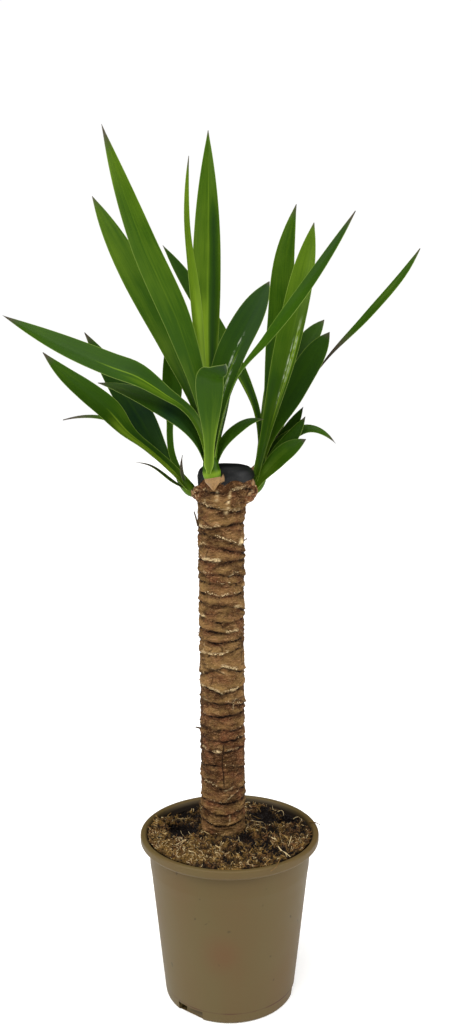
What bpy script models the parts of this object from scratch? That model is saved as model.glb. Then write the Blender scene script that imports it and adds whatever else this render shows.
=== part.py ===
"""A potted yucca: one rooted cane with three leafy shoots, in a plastic nursery pot.

Metres, +Z up. The origin is the middle of the pot's underside and -Y is the front.
"""

import math
import random

import bmesh
import bpy
import numpy as np
from mathutils import Vector, noise

MM = 0.001
SEED = 17
GAP = 0.3 * MM  # between pieces that touch

# The pot, moulded in one piece with a turned-out lip
POT_HEIGHT = 159.5 * MM
LIP_RADIUS = 84.8 * MM
LIP_WIDTH = 5.5 * MM
LIP_DEPTH = 9 * MM
LIP_ROUND = 1.2 * MM
LIP_UNDERCUT = 2.3 * MM
COLLAR_RADIUS = 77 * MM  # the straight band under the lip
COLLAR_BOTTOM = 129 * MM
COLLAR_TAPER = 1.2 * MM
COLLAR_STEP = 1.6 * MM  # in to the body of the pot
COLLAR_STEP_HEIGHT = 5 * MM
FOOT_RADIUS = 62.6 * MM
FOOT_HEIGHT = 5 * MM
FOOT_ROUND = 2 * MM
POT_WALL = 1.6 * MM
POT_FLOOR = 2.4 * MM
POT_SIDES = 48
NOTCH_COUNT = 3
NOTCH_BEARING = -126  # degrees, of the first drainage notch
NOTCH_SIZE = (14 * MM, 28 * MM, 16 * MM)  # radial, along the foot, upright
NOTCH_TOP = 8 * MM

# The soil, heaped up to the cane
SOIL_EDGE = 152 * MM
SOIL_CROWN = 162 * MM
SOIL_LUMPS = 3.4 * MM
SOIL_LUMP_SIZE = 17 * MM
SOIL_RINGS = (15 * MM, 27 * MM, 35 * MM, 43 * MM, 51 * MM, 59 * MM, 67 * MM)

# The cane: height, middle along X, radius
CANE = (
    (55 * MM, -5.0 * MM, 20.0 * MM),
    (165 * MM, -5.9 * MM, 20.0 * MM),
    (335 * MM, -7.0 * MM, 20.1 * MM),
    (455 * MM, -7.6 * MM, 20.4 * MM),
    (472 * MM, -6.6 * MM, 21.8 * MM),
    (485 * MM, -3.0 * MM, 24.0 * MM),
    (498 * MM, -3.0 * MM, 24.0 * MM),
    (502 * MM, -3.0 * MM, 21.5 * MM),
)
CANE_SIDES = 24
SCARS_FROM, SCARS_TO = 172 * MM, 474 * MM
SCAR_SPACING = (10.5 * MM, 15 * MM)
SCAR_TILT = (0.8 * MM, 3.2 * MM)
SCAR_LIP = 1.1 * MM
SCAR_GROOVE = 0.6 * MM
SCAR_GROOVE_BELOW = 1.6 * MM

# The wax over the sawn top
WAX_THICKNESS = 1.3 * MM
WAX_TOP = 506.8 * MM
WAX_EDGE = 489 * MM
WAX_SIDES = 36
WAX_WAVE = 1.6 * MM
WAX_RUN_BEARING = -104  # degrees, where the wax ran down
WAX_RUN_WIDTH = 14  # degrees
WAX_RUN_LENGTH = 4.5 * MM

# The shoots' short stems: points in millimetres with the radius there
STEM_SIDES = 14
FRONT_STEM = (
    (-12, -16, 483, 4.0), (-13.4, -23, 487, 5.8), (-14.2, -27.5, 492, 7.8),
    (-14.8, -28.6, 498, 8.7), (-15.6, -29.2, 505, 7.3), (-16.2, -30, 513, 4.6),
)
LEFT_STEM = (
    (-20, 0, 479, 4.5), (-27, 0, 480, 6.4), (-33, -1, 481.5, 7.4),
    (-38, -1, 486, 6.6), (-42, 0, 491, 5.4), (-46, 0, 499, 2.8),
)
RIGHT_STEM = (
    (14, 3, 481, 4.5), (20, 4, 483, 6.6), (24.5, 5, 487, 7.4),
    (27.5, 5, 494, 7.0), (30, 6, 502, 5.6), (32.5, 6, 511, 3.2),
)

# Blades. Each has the points that its middle runs through, in millimetres, its width, the
# share of its length where it is widest, how blunt its point is, how far its margins are
# raised, and the bearing and rise, in degrees, that its upper face looks to at root and tip.
FRONT_BLADES = {
    "tall_left": (((-18, -29, 497), (-19, -33, 536), (-40, -46, 618), (-70, -55, 687),
                   (-100, -58, 774)), 24, 0.52, 2.1, 0.10, (95, 0), (75, 0)),
    "broad_left": (((-19, -27, 496), (-22, -27, 536), (-50, -24, 607), (-81, -18, 666),
                    (-116, -10, 732)), 25, 0.60, 2.9, 0.10, (-60, 10), (-75, 20)),
    "upright": (((-16, -26, 496), (-17, -20, 545), (-20, -4, 622), (-19, 6, 708),
                 (-18, 10, 791)), 25, 0.55, 2.3, 0.30, (-90, 0), (-90, 10)),
    "edge_on": (((-17, -26, 496), (-22, -20, 562), (-30, -14, 646), (-37, -10, 717),
                 (-34, -8, 765)), 17, 0.60, 2.5, 0.20, (-50, 0), (-12, 0)),
    "forward": (((-16.6, -33, 496), (-16.9, -41, 513), (-16.3, -47, 534), (-16.1, -51, 552),
                 (-16, -55, 568), (-15.7, -60, 576), (-14.5, -68, 579.2), (-8, -100, 580.5),
                 (-1.5, -160, 581.5)), 23.5, 0.42, 1.15, 0.06, (90, 10), (52, 70)),
    "broad_right": (((-13, -27, 496), (-13, -30, 544), (2, -34, 600), (18, -34, 630),
                     (34, -30, 659)), 26, 0.66, 3.2, 0.12, (-90, 0), (-105, 20)),
    "long_right": (((-12, -28, 497), (-6, -34, 540), (9, -42, 582), (32, -50, 609),
                    (100, -70, 706)), 18, 0.58, 2.0, 0.15, (170, 20), (-110, 30)),
    "short_right": (((-11, -27, 498), (-6, -30, 522), (7, -33, 536), (19, -33, 543),
                     (30, -32, 545)), 13, 0.60, 2.6, 0.15, (-120, 20), (-90, 60)),
    "long_left": (((-19, -30, 497), (-22.3, -33, 527.5), (-28, -36, 542.6), (-34.6, -39, 551.8),
                   (-42.8, -42, 558.8), (-51, -45, 564), (-61.4, -49, 571.2), (-75.1, -52, 579.6),
                   (-97.6, -55, 587.8), (-137.5, -59, 604.3), (-183, -62, 627.5)),
                  25, 0.53, 2.7, 0.20, (-40, 0), (-75, 45)),
    "shaded_left": (((-19, -29, 497), (-23, -33, 517), (-39, -38, 543), (-64, -42, 559),
                     (-110, -42, 575)), 23, 0.50, 2.0, 0.15, (-40, 10), (-80, 45)),
    "small_left": (((-19, -26, 496), (-29, -24, 536), (-42, -20, 564)),
                   9, 0.50, 2.0, 0.10, (-40, 0), (-60, 20)),
    "back": (((-18, -25, 496), (-20, -10, 562), (-20, 8, 616), (-20, 24, 668)),
             20, 0.58, 2.4, 0.15, (-90, 20), (-90, 30)),
    "back_left": (((-18, -25, 496), (-26, -10, 553), (-46, 18, 607), (-71, 46, 664)),
                  27, 0.60, 3.2, 0.15, (-60, 20), (-60, 35)),
    "back_right": (((-13, -26, 496), (-9, -14, 545), (-1, 4, 584), (6, 14, 607)),
                   15, 0.55, 2.2, 0.15, (-110, 20), (-110, 40)),
}
LEFT_BLADES = {
    "creased": (((-35, -3, 482), (-51, -6, 500.8), (-70.1, -9, 518.6), (-89.4, -12, 534.4),
                 (-106.2, -14.5, 553.3), (-123, -16.5, 567.2), (-143.8, -18.5, 584.6),
                 (-160, -20, 602)), 24, 0.60, 2.2, 0.22, (-50, 20), (-75, 35)),
    "broad": (((-34, 1, 483), (-59, 12, 509), (-84, 22, 550), (-132, 30, 624)),
              28, 0.50, 1.9, 0.15, (-50, 10), (-75, 20)),
    "upright": (((-34, 1, 483), (-38.1, 0, 485), (-46.3, 4, 500.5), (-52.4, 9, 516.5),
                 (-54, 12, 531), (-53.8, 15, 545), (-52.3, 18, 563), (-52.5, 22, 590),
                 (-56, 26, 621)), 18, 0.66, 2.3, 0.15, (-70, 0), (-90, 10)),
    "level": (((-34.5, -1, 483), (-71, 4, 518), (-107, 8, 545), (-150, 10, 545)),
              11, 0.50, 1.6, 0.10, (0, 70), (-90, 50)),
    "low": (((-35, -4, 482), (-48, -6, 489), (-73, -12, 506), (-85, -14, 508)),
            6, 0.40, 2.0, 0.10, (-60, 60), (-80, 70)),
    "spike": (((-38, -3, 486), (-42.3, -6, 499), (-41.5, -7, 514)),
              4, 0.30, 2.0, 0.10, (-60, 0), (-80, 0)),
    "back": (((-34.5, 2, 483), (-50, 14, 501), (-74, 34, 530), (-101, 58, 566)),
             14, 0.58, 2.4, 0.15, (-60, 40), (-60, 60)),
    "back_low": (((-34.5, 3, 484), (-52, 20, 500), (-72, 40, 519), (-98, 60, 537)),
                 12, 0.55, 2.2, 0.15, (-60, 40), (-60, 70)),
}
RIGHT_BLADES = {
    "crossing": (((25, 8, 489), (28.5, 13, 513), (28, 18, 536), (24, 22, 557), (17, 27, 575),
                  (-8, 38, 621), (-61, 44, 703)),
                 16, 0.65, 3.2, 0.15, (-90, 0), (-75, 20)),
    "upright": (((25, 7, 490), (35, 12, 541), (45, 18, 625), (50, 18, 694), (59, 16, 732)),
                23, 0.58, 2.6, 0.12, (-100, 0), (-80, 0)),
    "glossy": (((26, 5, 490), (35, 2, 541), (52, -2, 612), (65, -4, 673), (73, -4, 712)),
               23, 0.60, 3.0, 0.22, (-120, 0), (-100, 0)),
    "blunt_back": (((27, 8, 489), (41, 16, 550), (65, 24, 606), (86, 28, 635)),
                   22, 0.62, 4.6, 0.12, (-120, 10), (-110, 20)),
    "blunt": (((27, 5, 490), (34, 6, 525), (56, 8, 568), (89, 8, 622)),
              25, 0.62, 4.0, 0.12, (-120, 10), (-110, 20)),
    "far_right": (((28, 8, 489), (56, 22, 553), (88, 30, 599), (126, 34, 639), (162, 34, 682),
                   (172, 33, 698)), 13, 0.76, 2.2, 0.10, (170, 45), (-120, 35)),
    "drooping": (((28, 6, 488), (50, 10, 527), (72, 10, 537), (96, 8, 524)),
                 14, 0.50, 2.0, 0.15, (-110, 60), (-80, 42)),
    "dark_low": (((27, 7, 488), (37, 12, 509), (58, 16, 541), (67, 17, 557)),
                 15, 0.60, 2.4, 0.12, (-120, 20), (-110, 30)),
    "middle_low": (((26, 4, 488), (38, 4, 508), (61, 4, 536), (68, 4, 548)),
                   15, 0.60, 2.4, 0.12, (-120, 20), (-110, 30)),
    "lowest": (((24, 2, 486), (36, -4, 502), (54, -8, 519), (68, -8, 528)),
               22, 0.60, 2.6, 0.12, (-110, 40), (-110, 45)),
    "back": (((25, 9, 489), (35, 26, 545), (48, 48, 606), (57, 70, 658)),
             19, 0.58, 2.4, 0.15, (-110, 20), (-110, 50)),
    "back_low": (((26, 8, 489), (38, 30, 527), (53, 58, 560), (69, 84, 585)),
                 17, 0.55, 2.2, 0.15, (-110, 40), (-110, 60)),
}
BLADE_THICKNESS = 0.8 * MM
# A blade's narrow root: its share of the width, and the share of the length that it keeps to
USUAL_NECK = (0.30, 0.06)
BLADE_NECKS = {
    "shoot_front_forward": (0.37, 0.10),
    "shoot_front_long_left": (0.38, 0.28),
    "shoot_front_shaded_left": (0.36, 0.14),
    "shoot_left_creased": (0.42, 0.34),
    "shoot_left_upright": (0.33, 0.44),
    "shoot_left_spike": (0.80, 0.05),
    "shoot_right_far_right": (0.26, 0.44),
    "shoot_right_crossing": (0.36, 0.24),
}
BLADE_ACROSS = (-1.0, -0.5, 0.0, 0.5, 1.0)
ROOT_FOLD = 0.5  # the root clasps the stem like a trough
TIP_HALF_WIDTH = 0.4 * MM
STATION_STEP = 24 * MM
FEWEST_STATIONS = 6


def new_collection(name):
    collection = bpy.data.collections.new(name)
    bpy.context.scene.collection.children.link(collection)
    return collection


def material(name, colour, roughness):
    finish = bpy.data.materials.new(name)
    finish.use_nodes = True
    shader = finish.node_tree.nodes["Principled BSDF"]
    shader.inputs["Base Color"].default_value = (*colour, 1.0)
    shader.inputs["Roughness"].default_value = roughness
    shader.inputs["Metallic"].default_value = 0.0
    finish.diffuse_color = (*colour, 1.0)
    return finish


def add_object(name, mesh, collection):
    obj = bpy.data.objects.new(name, mesh)
    collection.objects.link(obj)
    return obj


def make_cutter(obj):
    obj.hide_render = True
    obj.display_type = "WIRE"
    return obj


def turned(name, profile, sides, collection):
    """A profile of (radius, height) points, turned round Z by a Screw modifier."""
    mesh = bpy.data.meshes.new(name)
    points = [(radius, 0, height) for radius, height in profile]
    mesh.from_pydata(points, [(i, i + 1) for i in range(len(points) - 1)], [])
    obj = add_object(name, mesh, collection)
    screw = obj.modifiers.new("turn", "SCREW")
    screw.steps = screw.render_steps = sides
    screw.use_merge_vertices = True
    screw.merge_threshold = 0.00001
    return obj


def cut(obj, cutter):
    boolean = obj.modifiers.new("cut_" + cutter.name, "BOOLEAN")
    boolean.object = cutter
    boolean.operation = "DIFFERENCE"


def apply_modifiers(obj):
    bpy.context.view_layer.update()
    evaluated = obj.evaluated_get(bpy.context.evaluated_depsgraph_get())
    mesh = bpy.data.meshes.new_from_object(evaluated)
    obj.modifiers.clear()
    obj.data = mesh
    mesh.name = obj.name


def finish_object(obj, finish, crease=35):
    obj.data.materials.clear()
    obj.data.materials.append(finish)
    if obj.data.polygons:
        obj.data.shade_smooth()
        obj.data.set_sharp_from_angle(angle=math.radians(crease))


def loft(name, rings, collection):
    """One closed body through rings of points. Each quad of a ring's second half is split
    the mirrored way, so that the two faces of a thin blade are split alike."""
    body = bmesh.new()
    rows = [[body.verts.new(point) for point in ring] for ring in rings]
    sides = len(rows[0])
    for low, high in zip(rows, rows[1:]):
        for j in range(sides):
            k = (j + 1) % sides
            if j < sides // 2:
                body.faces.new((low[j], low[k], high[k]))
                body.faces.new((low[j], high[k], high[j]))
            else:
                body.faces.new((low[j], low[k], high[j]))
                body.faces.new((low[k], high[k], high[j]))
    body.faces.new(rows[0][::-1])
    body.faces.new(rows[-1])
    bmesh.ops.triangulate(body, faces=[face for face in body.faces if len(face.verts) > 4])
    bmesh.ops.recalc_face_normals(body, faces=body.faces)
    mesh = bpy.data.meshes.new(name)
    body.to_mesh(mesh)
    body.free()
    return add_object(name, mesh, collection)


def keep_outer_shell(mesh):
    """Fills the hollows that a union sealed: only the shell that reaches furthest is kept."""
    body = bmesh.new()
    body.from_mesh(mesh)
    waiting = set(body.verts)
    shells = []
    while waiting:
        shell, edge_of_search = set(), [waiting.pop()]
        while edge_of_search:
            vertex = edge_of_search.pop()
            shell.add(vertex)
            near = {edge.other_vert(vertex) for edge in vertex.link_edges} & waiting
            waiting -= near
            edge_of_search.extend(near)
        shells.append(shell)
    outer = max(shells, key=lambda shell: max(vertex.co.z for vertex in shell))
    inner = [vertex for vertex in body.verts if vertex not in outer]
    bmesh.ops.delete(body, geom=inner, context="VERTS")
    body.to_mesh(mesh)
    body.free()


def unit(vectors):
    return vectors / np.linalg.norm(vectors, axis=-1, keepdims=True)


def direction(bearing, rise):
    bearing, rise = math.radians(bearing), math.radians(rise)
    return np.array((math.cos(bearing) * math.cos(rise), math.sin(bearing) * math.cos(rise),
                     math.sin(rise)))


def ease(value):
    value = np.clip(value, 0, 1)
    return value * value * (3 - 2 * value)


def run_along(points):
    steps = np.linalg.norm(np.diff(points, axis=0), axis=1)
    return np.concatenate(([0], np.cumsum(steps)))


def smooth_path(points, shares):
    """Points at these shares of the length of one smooth curve through the given points."""
    points = np.array(points, float)
    knots = run_along(points)
    slopes = np.gradient(points, knots, axis=0, edge_order=2)
    places = np.linspace(0, knots[-1], 400)
    first = np.clip(np.searchsorted(knots, places, side="right") - 1, 0, len(points) - 2)
    span = (knots[first + 1] - knots[first])[:, None]
    u = (places - knots[first])[:, None] / span
    curve = ((2 * u**3 - 3 * u**2 + 1) * points[first] + (u**3 - 2 * u**2 + u) * span * slopes[first]
             + (3 * u**2 - 2 * u**3) * points[first + 1] + (u**3 - u**2) * span * slopes[first + 1])
    run = run_along(curve)
    return np.stack([np.interp(shares * run[-1], run, curve[:, k]) for k in range(3)], axis=1)


def blade(name, leaf, collection):
    """A leaf: a thin arched strip that follows its middle line and turns its face with it."""
    points, width, belly, bluntness, fold, root_face, tip_face = leaf
    points = np.array(points) * MM
    width *= MM
    stations = max(FEWEST_STATIONS, round(run_along(points)[-1] / STATION_STEP) + 1)
    share = np.linspace(0, 1, stations) ** 1.2
    middle = smooth_path(points, share)
    ahead = unit(np.gradient(middle, axis=0))
    face = unit((1 - share)[:, None] * direction(*root_face) + share[:, None] * direction(*tip_face))
    up = unit(face - (face * ahead).sum(axis=1)[:, None] * ahead)
    side = np.cross(ahead, up)
    root, neck = BLADE_NECKS.get(name, USUAL_NECK)
    widening = root + (1 - root) * ease((share - neck) / (belly - neck))
    narrowing = 1 - np.clip((share - belly) / (1 - belly), 0, 1) ** bluntness
    half = np.maximum(width / 2 * np.where(share < belly, widening, narrowing), TIP_HALF_WIDTH)
    folds = fold + ROOT_FOLD * (1 - share) ** 6
    rings = []
    for i in range(stations):
        line = [middle[i] + half[i] * (a * side[i] + folds[i] * abs(a) ** 1.4 * up[i])
                for a in BLADE_ACROSS]
        skin = up[i] * BLADE_THICKNESS / 2
        rings.append([point + skin for point in line] + [point - skin for point in line[::-1]])
    return loft(name, rings, collection)


def stem_rings(stem, grow=0.0):
    """Rings round a stem's line, wider by grow, starting that much earlier."""
    middle = np.array([point[:3] for point in stem]) * MM
    radii = np.array([point[3] for point in stem]) * MM + grow
    ahead = unit(np.gradient(middle, axis=0))
    middle[0] -= ahead[0] * grow
    rings = []
    for point, radius, way in zip(middle, radii, ahead):
        across = unit(np.cross(way, (0.3, 1.0, 0.1)))
        over = np.cross(way, across)
        turns = np.arange(STEM_SIDES) * math.tau / STEM_SIDES
        rings.append([point + radius * (math.cos(t) * across + math.sin(t) * over) for t in turns])
    return rings


def shoot(name, stem, blades, finish, parts):
    """A short stem with its blades, joined by one union."""
    spare = new_collection(name + "_blades")
    for blade_name, leaf in blades.items():
        blade(name + "_" + blade_name, leaf, spare)
    obj = loft(name, stem_rings(stem), parts)
    union = obj.modifiers.new("join", "BOOLEAN")
    union.operation = "UNION"
    union.operand_type = "COLLECTION"
    union.collection = spare
    union.solver = "EXACT"
    apply_modifiers(obj)
    keep_outer_shell(obj.data)
    for spare_obj in list(spare.objects):
        bpy.data.objects.remove(spare_obj)
    bpy.data.collections.remove(spare)
    finish_object(obj, finish)
    return obj


def cane_at(height):
    heights, middles, radii = zip(*CANE)
    return np.interp(height, heights, middles), np.interp(height, heights, radii)


def ring_of_cane(heights, bulge):
    """A ring whose height changes round the cane, standing out by bulge."""
    ring = []
    for j, height in enumerate(heights):
        turn = j * math.tau / CANE_SIDES
        middle, radius = cane_at(height)
        radius += bulge
        ring.append((middle + radius * math.cos(turn), radius * math.sin(turn), height))
    return ring


def scar_rings():
    """Rows of the bark: under each leaf scar a groove, then its lip, then the smooth rise.
    A scar doesn't lie level: it tilts its own way and waves twice round the cane."""
    draw = random.Random(SEED)
    turns = np.arange(CANE_SIDES) * math.tau / CANE_SIDES
    rings = []
    height = SCARS_FROM
    while height < SCARS_TO:
        spacing = draw.uniform(*SCAR_SPACING)
        tilt = draw.uniform(*SCAR_TILT)
        wave = tilt * draw.uniform(0.2, 0.5)
        line = (height + tilt * np.sin(turns + draw.uniform(0, math.tau))
                + wave * np.sin(2 * turns + draw.uniform(0, math.tau)))
        lip = SCAR_LIP * draw.uniform(0.7, 1.1)
        rings.append(ring_of_cane(line - SCAR_GROOVE_BELOW, -SCAR_GROOVE))
        rings.append(ring_of_cane(line, lip))
        rings.append(ring_of_cane(line + 0.3 * spacing, 0.3 * lip))
        height += spacing
    return rings


def level_ring(height, bulge=0.0):
    return ring_of_cane([height] * CANE_SIDES, bulge)


def make_cane(parts, sockets):
    low = [level_ring(CANE[0][0]), level_ring(CANE[1][0])]
    high = [level_ring(height) for height, _, _ in CANE[-3:]]
    obj = loft("cane", low + scar_rings() + high, parts)
    for socket in sockets:
        cut(obj, socket)
    finish_object(obj, material("bark", (0.20, 0.11, 0.05), 0.85))
    return obj


def make_wax(parts, sockets):
    """A domed coat over the cane's sawn top, with a wavy lower edge and one run."""
    shoulder_height, middle, cane_radius = CANE[-2]
    top_height, _, top_radius = CANE[-1]
    inner = cane_radius + GAP
    outer = inner + WAX_THICKNESS
    profile = [
        (0, top_height + GAP), (top_radius, top_height + GAP), (inner, shoulder_height + GAP),
        (inner, WAX_EDGE), (outer, WAX_EDGE),
    ]
    inside_out = [
        (outer, WAX_TOP - 10 * MM), (outer - 1.2 * MM, WAX_TOP - 6 * MM),
        (outer - 5 * MM, WAX_TOP - 2.4 * MM), (outer - 13 * MM, WAX_TOP - 0.5 * MM), (0, WAX_TOP),
    ]
    obj = turned("wax_seal", (profile + inside_out)[::-1], WAX_SIDES, parts)
    apply_modifiers(obj)
    for vertex in obj.data.vertices:
        if vertex.co.z < WAX_EDGE + 0.1 * MM:
            turn = math.atan2(vertex.co.y, vertex.co.x)
            run = math.exp(-((math.degrees(turn) - WAX_RUN_BEARING) / WAX_RUN_WIDTH) ** 2)
            vertex.co.z += WAX_WAVE * math.sin(3 * turn + 1) - WAX_RUN_LENGTH * run
        vertex.co.x += middle
    for socket in sockets:
        cut(obj, socket)
    finish_object(obj, material("grafting_wax", (0.035, 0.035, 0.038), 0.45))
    return obj


def collar_side():
    """The collar's outer side, from under the lip down to the body of the pot."""
    low = COLLAR_RADIUS - COLLAR_TAPER
    return [
        (COLLAR_RADIUS, POT_HEIGHT - LIP_DEPTH), (low, COLLAR_BOTTOM),
        (low - COLLAR_STEP, COLLAR_BOTTOM - COLLAR_STEP_HEIGHT),
    ]


def pot_outside():
    """Outer side of the pot, from the lip down to the middle of the underside."""
    lip = [
        (LIP_RADIUS - LIP_ROUND, POT_HEIGHT), (LIP_RADIUS, POT_HEIGHT - LIP_ROUND),
        (LIP_RADIUS, POT_HEIGHT - LIP_DEPTH + LIP_UNDERCUT),
        (LIP_RADIUS - LIP_UNDERCUT, POT_HEIGHT - LIP_DEPTH),
    ]
    foot = [
        (FOOT_RADIUS, FOOT_HEIGHT), (FOOT_RADIUS - 0.3 * FOOT_ROUND, 0.4 * FOOT_ROUND),
        (FOOT_RADIUS - FOOT_ROUND, 0), (0, 0),
    ]
    return lip + collar_side() + foot


def pot_inside():
    """Inner side of the pot, from the middle of the floor up to the lip."""
    bowl = [
        (0, POT_FLOOR), (FOOT_RADIUS - 2 * POT_WALL, POT_FLOOR),
        (FOOT_RADIUS - POT_WALL, FOOT_HEIGHT),
    ]
    collar = [(radius - POT_WALL, height) for radius, height in collar_side()[::-1]]
    lip = [
        (LIP_RADIUS - LIP_WIDTH, POT_HEIGHT - LIP_ROUND),
        (LIP_RADIUS - LIP_WIDTH + LIP_ROUND, POT_HEIGHT),
    ]
    return bowl + collar + lip


def make_pot(parts, cutters):
    obj = turned("pot", pot_inside() + pot_outside(), POT_SIDES, parts)
    for i in range(NOTCH_COUNT):
        bearing = math.radians(NOTCH_BEARING + i * 360 / NOTCH_COUNT)
        bpy.ops.mesh.primitive_cube_add(size=1)
        notch = bpy.context.object
        notch.name = f"notch_{i + 1}"
        notch.dimensions = NOTCH_SIZE
        notch.rotation_euler.z = bearing
        notch.location = (FOOT_RADIUS * math.cos(bearing), FOOT_RADIUS * math.sin(bearing),
                          NOTCH_TOP - NOTCH_SIZE[2] / 2)
        for collection in notch.users_collection:
            collection.objects.unlink(notch)
        cutters.objects.link(make_cutter(notch))
        cut(obj, notch)
    finish_object(obj, material("pot_plastic", (0.175, 0.130, 0.070), 0.5))
    return obj


def soil_height(x, y, edge_radius):
    """The heap's height: highest round the cane, with lumps that fade out at the wall."""
    radius = math.hypot(x, y)
    heap = 1 - radius / edge_radius
    lumps = noise.noise(Vector((x, y, SEED * MM)) / SOIL_LUMP_SIZE) * min(1, 4 * heap)
    return SOIL_EDGE + (SOIL_CROWN - SOIL_EDGE) * float(ease(1.35 * heap)) + SOIL_LUMPS * lumps


def make_soil(parts, cutters):
    """The root ball's soil. It fills the pot, so its side is the pot's inner side less a gap."""
    wall = [(radius - 1.2 * GAP, height) for radius, height in pot_inside()[1:6]]
    radii, heights = zip(*wall)
    edge_radius = float(np.interp(SOIL_EDGE, heights, radii))
    side = [(radii[0], POT_FLOOR + GAP)] + wall[1:4]
    top = [(radius, SOIL_EDGE) for radius in SOIL_RINGS]
    profile = [(0, SOIL_EDGE)] + top + [(edge_radius, SOIL_EDGE)] + side[::-1] + [(0, POT_FLOOR + GAP)]
    obj = turned("soil", profile, POT_SIDES, parts)
    apply_modifiers(obj)
    for vertex in obj.data.vertices:
        if vertex.co.z > SOIL_EDGE - 0.1 * MM:
            vertex.co.z = soil_height(vertex.co.x, vertex.co.y, edge_radius)
    hole_heights = (CANE[0][0] - GAP, CANE[1][0], SOIL_CROWN + 10 * MM)
    hole = loft("cane_hole", [level_ring(height, GAP) for height in hole_heights], cutters)
    cut(obj, make_cutter(hole))
    finish_object(obj, material("peat", (0.050, 0.030, 0.015), 0.95))
    return obj


def main():
    for obj in list(bpy.data.objects):
        bpy.data.objects.remove(obj)
    parts = new_collection("potted_yucca")
    cutters = new_collection("cutters")
    shoots = {
        "shoot_front": (FRONT_STEM, FRONT_BLADES, (0.070, 0.165, 0.020)),
        "shoot_left": (LEFT_STEM, LEFT_BLADES, (0.055, 0.130, 0.022)),
        "shoot_right": (RIGHT_STEM, RIGHT_BLADES, (0.060, 0.145, 0.022)),
    }
    sockets = []
    for name, (stem, blades, colour) in shoots.items():
        shoot(name, stem, blades, material(name + "_leaf", colour, 0.4), parts)
        socket = loft(name + "_socket", stem_rings(stem, grow=GAP), cutters)
        sockets.append(make_cutter(socket))
    make_pot(parts, cutters)
    make_soil(parts, cutters)
    make_cane(parts, sockets)
    make_wax(parts, sockets)


main()
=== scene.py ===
"""Looks for a potted yucca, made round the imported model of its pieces.

Metres, +Z up, and -Y is the side that faces the camera. Laid out as an add-on and run as a script.
"""

import math
import random

import bmesh
import bpy
import numpy as np
from bpy.props import FloatProperty, FloatVectorProperty, IntProperty, PointerProperty
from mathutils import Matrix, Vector, noise


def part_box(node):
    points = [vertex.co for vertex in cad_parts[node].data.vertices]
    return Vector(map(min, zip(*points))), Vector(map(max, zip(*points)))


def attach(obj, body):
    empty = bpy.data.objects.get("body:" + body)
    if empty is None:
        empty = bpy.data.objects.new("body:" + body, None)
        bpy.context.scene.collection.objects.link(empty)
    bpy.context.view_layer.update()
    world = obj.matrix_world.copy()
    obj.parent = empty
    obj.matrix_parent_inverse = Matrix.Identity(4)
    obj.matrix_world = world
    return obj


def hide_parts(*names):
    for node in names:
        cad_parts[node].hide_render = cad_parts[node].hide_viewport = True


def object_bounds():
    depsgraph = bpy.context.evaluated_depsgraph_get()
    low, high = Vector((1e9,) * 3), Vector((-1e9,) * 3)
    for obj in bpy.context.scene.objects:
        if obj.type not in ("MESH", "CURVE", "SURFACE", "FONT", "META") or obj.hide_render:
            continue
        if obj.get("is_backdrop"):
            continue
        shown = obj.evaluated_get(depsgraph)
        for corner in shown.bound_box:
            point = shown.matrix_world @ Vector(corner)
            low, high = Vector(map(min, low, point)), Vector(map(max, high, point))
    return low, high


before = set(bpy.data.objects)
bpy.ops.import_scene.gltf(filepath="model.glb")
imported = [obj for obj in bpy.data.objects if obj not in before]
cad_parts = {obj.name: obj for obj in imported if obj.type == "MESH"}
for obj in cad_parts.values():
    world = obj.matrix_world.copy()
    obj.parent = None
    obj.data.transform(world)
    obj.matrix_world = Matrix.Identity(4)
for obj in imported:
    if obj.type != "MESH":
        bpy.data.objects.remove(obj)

bl_info = {
    "name": "Potted Yucca",
    "version": (1, 0, 0),
    "blender": (4, 5, 0),
    "location": "View3D > Sidebar > Yucca",
    "description": "A rooted yucca cane with three leafy shoots in a nursery pot",
    "category": "Add Mesh",
}

CAD_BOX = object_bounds()
MM = 0.001
PER_SQUARE_CM = 10000  # per square metre
SEED = 17

# Pot
POT_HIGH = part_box("pot")[1]
POT_CENTRE = 12 * MM  # radius of the flat face that closes its floor
LIP_WIDTH = 5.5 * MM
LIP_DEPTH = 9 * MM
LIP_ROUND = 1.2 * MM
LIP_UNDERCUT = 2.3 * MM
COLLAR_RADIUS = 77 * MM
COLLAR_BOTTOM = 129 * MM
COLLAR_TAPER = 1.2 * MM
COLLAR_STEP = 1.3 * MM
COLLAR_STEP_HEIGHT = 9 * MM
FOOT_RADIUS = 62.6 * MM
FOOT_HEIGHT = 5 * MM
FOOT_ROUND = 2 * MM
POT_WALL = 1.6 * MM
POT_FLOOR = 2.4 * MM
POT_SIDES = 224
LONGEST_RUN = 5 * MM  # the longest straight run of its section
EDGE_ROUND = 1.1 * MM
NOTCH_COUNT = 3
NOTCH_BEARING = -126
NOTCH_TOP = 8.8 * MM
NOTCH_SIZE = (8 * MM, 28 * MM, 16 * MM)
# Painted shade on the faces that a notch cuts, nearly black in its narrower drain cut
NOTCH_SHADE = 0.12
DRAIN_BEARING = -135.5
DRAIN_SIZE = (24 * MM, 7 * MM, 8.3 * MM)
DRAIN_SHADE = 1.0
FOOT_THICKNESS = 7 * MM
SEAM_HEIGHT = 10.4 * MM
SEAM_WIDTH = 0.6 * MM

# Soil
SOIL_EDGE = 158 * MM
SOIL_BACK_DIP = 4 * MM
SOIL_SPREAD = 2.2 * MM  # how far the moss leans out over the rim, except at the back
SOIL_CROWN = 161.5 * MM
SOIL_RADIUS = 75.0 * MM
SOIL_CENTRE = 16 * MM  # radius of the innermost ring, inside the cane
SOIL_SIDES = 300
SOIL_ROWS = 64
CRUMB_SIZE = 1.25 * MM
# What each kind of fibre is given, in this order
FIBRE_SIZES = ("Density", "Follow", "Length", "Thickness", "Least lean", "Most lean",
               "Least tint", "Most tint", "Moss tint")
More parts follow.
